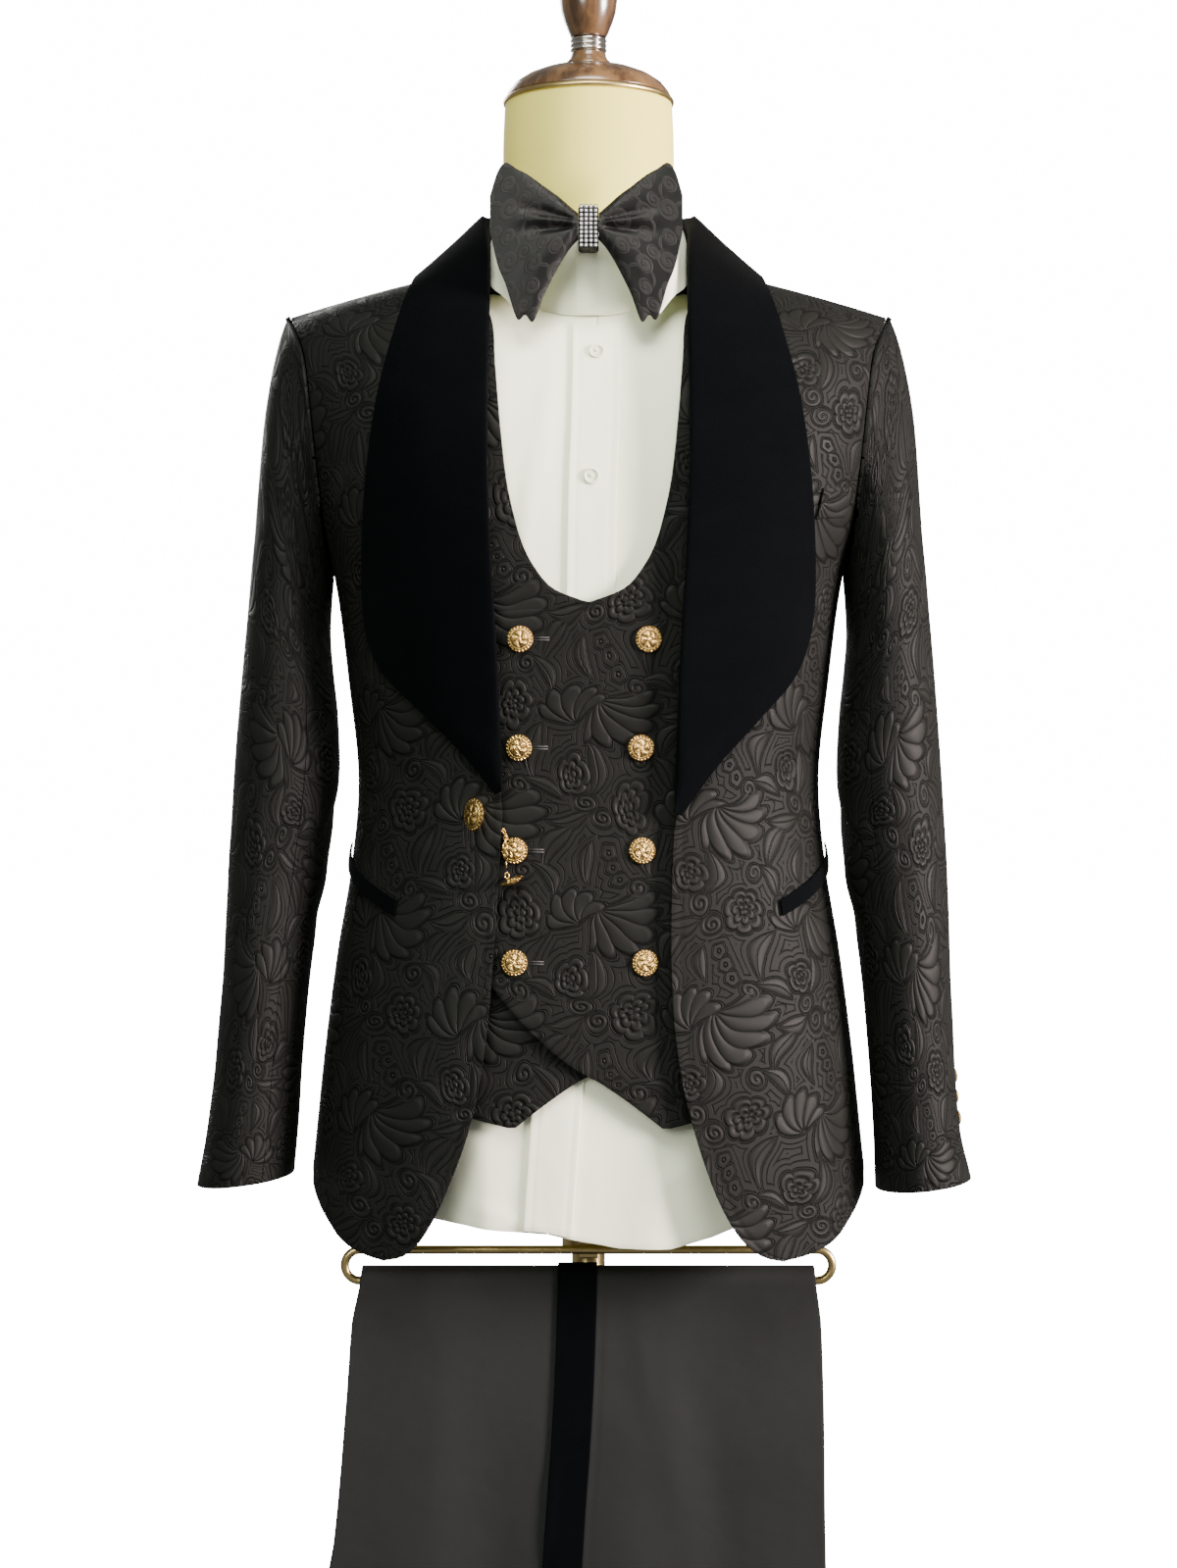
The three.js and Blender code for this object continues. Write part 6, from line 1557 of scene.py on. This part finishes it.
knot = wrapped("knot_satin", 72, 14, knot_shape, satin, "bow_knot", slot="satin")
lay_satin(knot, lambda spot: (spot.x, spot.z + spot.y))

crystal = new_material("crystal", (0.9, 0.91, 0.92), 0.12, 0.35)[0]
silver = new_material("crystal_setting", (0.03, 0.03, 0.03), 0.35, 0.6)[0]
CRYSTALS = {"columns": 4, "rows": 10, "step_x": 3.5, "step_z": 3.1, "radius": 1.5, "high": 1.1}
stones, settings = bmesh.new(), bmesh.new()
for column in range(CRYSTALS["columns"]):
    for row in range(CRYSTALS["rows"]):
        x = (column - (CRYSTALS["columns"] - 1) / 2) * CRYSTALS["step_x"]
        z = (row - (CRYSTALS["rows"] - 1) / 2) * CRYSTALS["step_z"]
        bend = np.clip(abs(z) / (KNOT["tall"] / 2), 0, 1)
        y = KNOT["front"] + 7.5 * max(0.0, float(bend) - 0.72) ** 1.6
        tilt = math.copysign(1.2 * max(0.0, float(bend) - 0.8), z)
        at = Matrix.Translation(Vector((x, y - 0.2, KNOT["z"] + z)) / 1000)
        at = at @ Matrix.Rotation(math.pi / 2 - tilt, 4, "X")
        seat = at @ Matrix.Translation((0, 0, CRYSTALS["high"] / 2000)) @ Matrix.Rotation(math.pi / 4, 4,
                                                                                          "Z")
        bmesh.ops.create_cone(stones, cap_ends=True, segments=4, radius1=CRYSTALS["radius"] / 1000,
                              radius2=CRYSTALS["radius"] * 0.00055, depth=CRYSTALS["high"] / 1000,
                              matrix=seat)
        bmesh.ops.create_cone(settings, cap_ends=True, segments=8, radius1=0.00172, radius2=0.00165,
                              depth=0.0006, matrix=at)
as_piece("knot_crystals", stones, crystal, slot="steel", round_faces=False)
as_piece("crystal_settings", settings, silver, slot="steel", round_faces=False)


# Trousers. Charcoal wool folded along the creases and hung over the bar, a velvet stripe down the outseam.
def wool_finish():
    material, tree, shader, cut = new_material("charcoal_wool", (0.013, 0.013, 0.013), 0.72,
                                               Specular_IOR_Level=0.1)
    weave = place_group(tree, plain_weave, Cut=cut, Threads=7000.0)
    cloudy = noise(tree, cut, 5, 4)
    colour_between(tree, shader, cloudy, (0.0085, 0.0095, 0.009), (0.0165, 0.017, 0.0165))
    raise_surface(tree, shader, weave["Height"] * 0.1 + weave["Unevenness"] + cloudy * 9, 0.0006, 0.6)
    return material


wool = wool_finish()
DRAPE = table("along back_edge front_edge stripe",
              (-545, -222, 188, -22), (-470, -240, 192, -24), (-385, -252, 200, -25), (-320, -232, 196, -24),
              (-262, -199, 177, -21), (-200, -187, 174, -18), (-110, -179, 173, -12), (-40, -174, 171, -9),
              (0, -167, 166.5, -8), (40, -173, 170, -7), (150, -158, 153, -6), (300, -134, 127, -5),
              (420, -117, 109, -5), (520, -104, 97, -4))
FABRIC_WAVES = ((-120, 30, 2.5), (-60, 22, -2), (40, 26, 2.8), (110, 34, -2.2))
ROD_ARC = math.pi / 2 * (ROD["radius"] + 4)
WRINKLES = ((-30, -190, 30, 5, 1.5, 1.2), (-33, -225, 24, 4, 1.7, -1.0), (-38, -250, 26, 5, 1.3, 1.0),
            (-29, -160, 18, 4, 1.8, 0.8), (60, -120, 70, 14, -0.9, 1.3), (95, -170, 60, 16, -0.8, -1.2),
            (40, -70, 40, 9, -1.1, 0.9), (-110, -150, 80, 16, 0.25, 1.1))


def drape_point(along, x, out):
    """Cloth over the rod: its distance along from the fold, its place across, and its height over the rod."""
    r = ROD["radius"] + out
    wave = sum(deep * mound(x, at + along * 0.05, reach) for at, reach, deep in FABRIC_WAVES)
    wave = wave * soft(np.clip((np.abs(along) - 25) / 160, 0, 1)) * np.where(along < 0, 0.7, 0.25)
    for at, low, long, reach, lean, deep in WRINKLES:
        wrinkle = deep * mound(x - (along - low) * 0.1 * lean, at, reach) * mound(along, low, long)
        wave = wave + wrinkle * (along < 0)
    turn = along / ROD_ARC * math.pi / 2
    down = np.abs(along) - ROD_ARC
    spread = 3 * soft(np.clip(down / 120, 0, 1))
    over = np.abs(along) <= ROD_ARC
    return np.stack([x, ROD["y"] + np.where(over, r * np.sin(turn), np.sign(along) * (r + spread) - wave),
                     ROD["z"] + np.where(over, r * np.cos(turn), -down)], -1)


def drape_cut(start, end, low, high, out, groove_at=None):
    def shape(u, v):
        along = mix(low, high, v)
        near = soft(np.clip(1 - np.abs(along) / 60, 0, 1))
        x = mix(start(along), end(along), u)
        fine = out - (0.35 * mound(x - start(along), groove_at, 1.2) if groove_at else 0)
        return drape_point(along, x, fine), np.stack([x, along], -1)

    return shape


def even_steps(low, high):
    """Spreads a grid's rows so that the fold over the rod gets enough of them."""
    marks = np.unique(np.r_[np.linspace(low, -14, 90), np.linspace(-14, 14, 22), np.linspace(14, high, 60)])
    shares = (marks - low) / (high - low)
    return lambda v: np.interp(v, np.linspace(0, 1, len(shares)), shares)


def drape_column(name, shift=0.0):
    return lambda along: read_at(DRAPE["along"], DRAPE[name], along) + shift


STRIPE_HALF, PANEL_OUT = 14.5, 8.3
# The panels run from the waistband's seam to the hem, as distances from the fold over the rod.
LEG_START, LEG_END = -504.5, 520
spread_rows = even_steps(LEG_START, LEG_END)
PANELS = (("front", drape_column("stripe", SEAM / 2), drape_column("front_edge"), 18.5),
          ("back", drape_column("back_edge"), drape_column("stripe", -SEAM / 2), None))
for part, start, end, groove in PANELS:
    plain = drape_cut(start, end, LEG_START, LEG_END, PANEL_OUT, groove)
    cut_cloth(f"trouser_{part}_cloth", 80, 110, lambda u, v, plain=plain: plain(u, spread_rows(v)),
              CLOTH["trousers"],
              wool, f"trouser_leg_{part}_panel", slot="wool", held="folded", rests_on=("trouser_rod",))
stripe_rows = even_steps(LEG_START, LEG_END - 1)
plain = drape_cut(drape_column("stripe", -STRIPE_HALF), drape_column("stripe", STRIPE_HALF), LEG_START,
                  LEG_END - 1, PANEL_OUT + WELT_GAP + 1)
cut_cloth("trouser_stripe_velvet", 16, 170, lambda u, v, plain=plain: plain(u, stripe_rows(v)), 1, velvet,
          "trouser_stripe", slot="velvet", held="folded", rests_on=("trouser_front_cloth",))
band = drape_cut(drape_column("back_edge"), drape_column("front_edge"), -545, -505, PANEL_OUT + 0.6)
cut_cloth("trouser_waistband_cloth", 60, 12, band, 2, wool, "trouser_waistband", slot="wool", held="folded",
          rests_on=("trouser_front_cloth",))


# Bracket. A ring that clamps on the pole, with an arm forward to the rod.
def bracket():
    mesh = bmesh.new()
    inner, outer, arm = 12.9, 20.0, 7.0
    corner = math.asin(arm / outer)
    count = 48
    rim = []
    for i in range(count + 1):
        angle = -math.pi / 2 + corner + (math.tau - 2 * corner) * i / count
        rim.append((outer * math.cos(angle), outer * math.sin(angle)))
    reach = -ROD["y"] - ROD["radius"] - TRIM_GAP
    outside = rim + [(-arm, -reach), (arm, -reach)]
    turns = [math.tau * i / count for i in range(count)]
    inside = [(inner * math.cos(turn), inner * math.sin(turn)) for turn in turns]
    underside = (ROD["z"] + ROD["rise"] - 7) / 1000
    loops = []
    for points in (outside, inside):
        verts = [mesh.verts.new((x / 1000, y / 1000, underside)) for x, y in points]
        loops += [mesh.edges.new((verts[i - 1], verts[i])) for i in range(len(verts))]
    bmesh.ops.triangle_fill(mesh, use_beauty=True, use_dissolve=False, edges=loops, normal=(0, 0, 1))
    flat = mesh.faces[:]
    raised = bmesh.ops.extrude_face_region(mesh, geom=flat)["geom"]
    bmesh.ops.translate(mesh, verts=[v for v in raised if isinstance(v, bmesh.types.BMVert)],
                        vec=(0, 0, 0.014))
    bmesh.ops.recalc_face_normals(mesh, faces=mesh.faces)
    piece = as_piece("pole_bracket", mesh, brass, "bar_bracket", slot="brass", round_faces=False)
    finish_edges(piece, 0.0008)


bracket()


# Floor. A plain white floor under the base, as wide as the picture needs.
floor_finish, floor_tree, floor_shader, floor_spot = new_material("white_floor", (0.9, 0.9, 0.9), 0.8,
                                                                  on="Object")
shade = noise(floor_tree, floor_spot, 3, 4)
colour_between(floor_tree, floor_shader, shade, (0.89, 0.89, 0.89), (0.91, 0.91, 0.91))
floor_shader.inputs["Emission Color"].default_value = (1, 1, 1, 1)
floor_shader.inputs["Emission Strength"].default_value = PAPER_WHITE
floor_mesh = bmesh.new()
bmesh.ops.create_circle(floor_mesh, cap_ends=True, segments=96, radius=30)
floor_data = bpy.data.meshes.new("floor")
floor_mesh.to_mesh(floor_data)
floor_mesh.free()
floor_data.materials.append(floor_finish)
floor = bpy.data.objects.new("floor", floor_data)
bpy.context.scene.collection.objects.link(floor)
floor.visible_diffuse = False
floor.visible_glossy = False
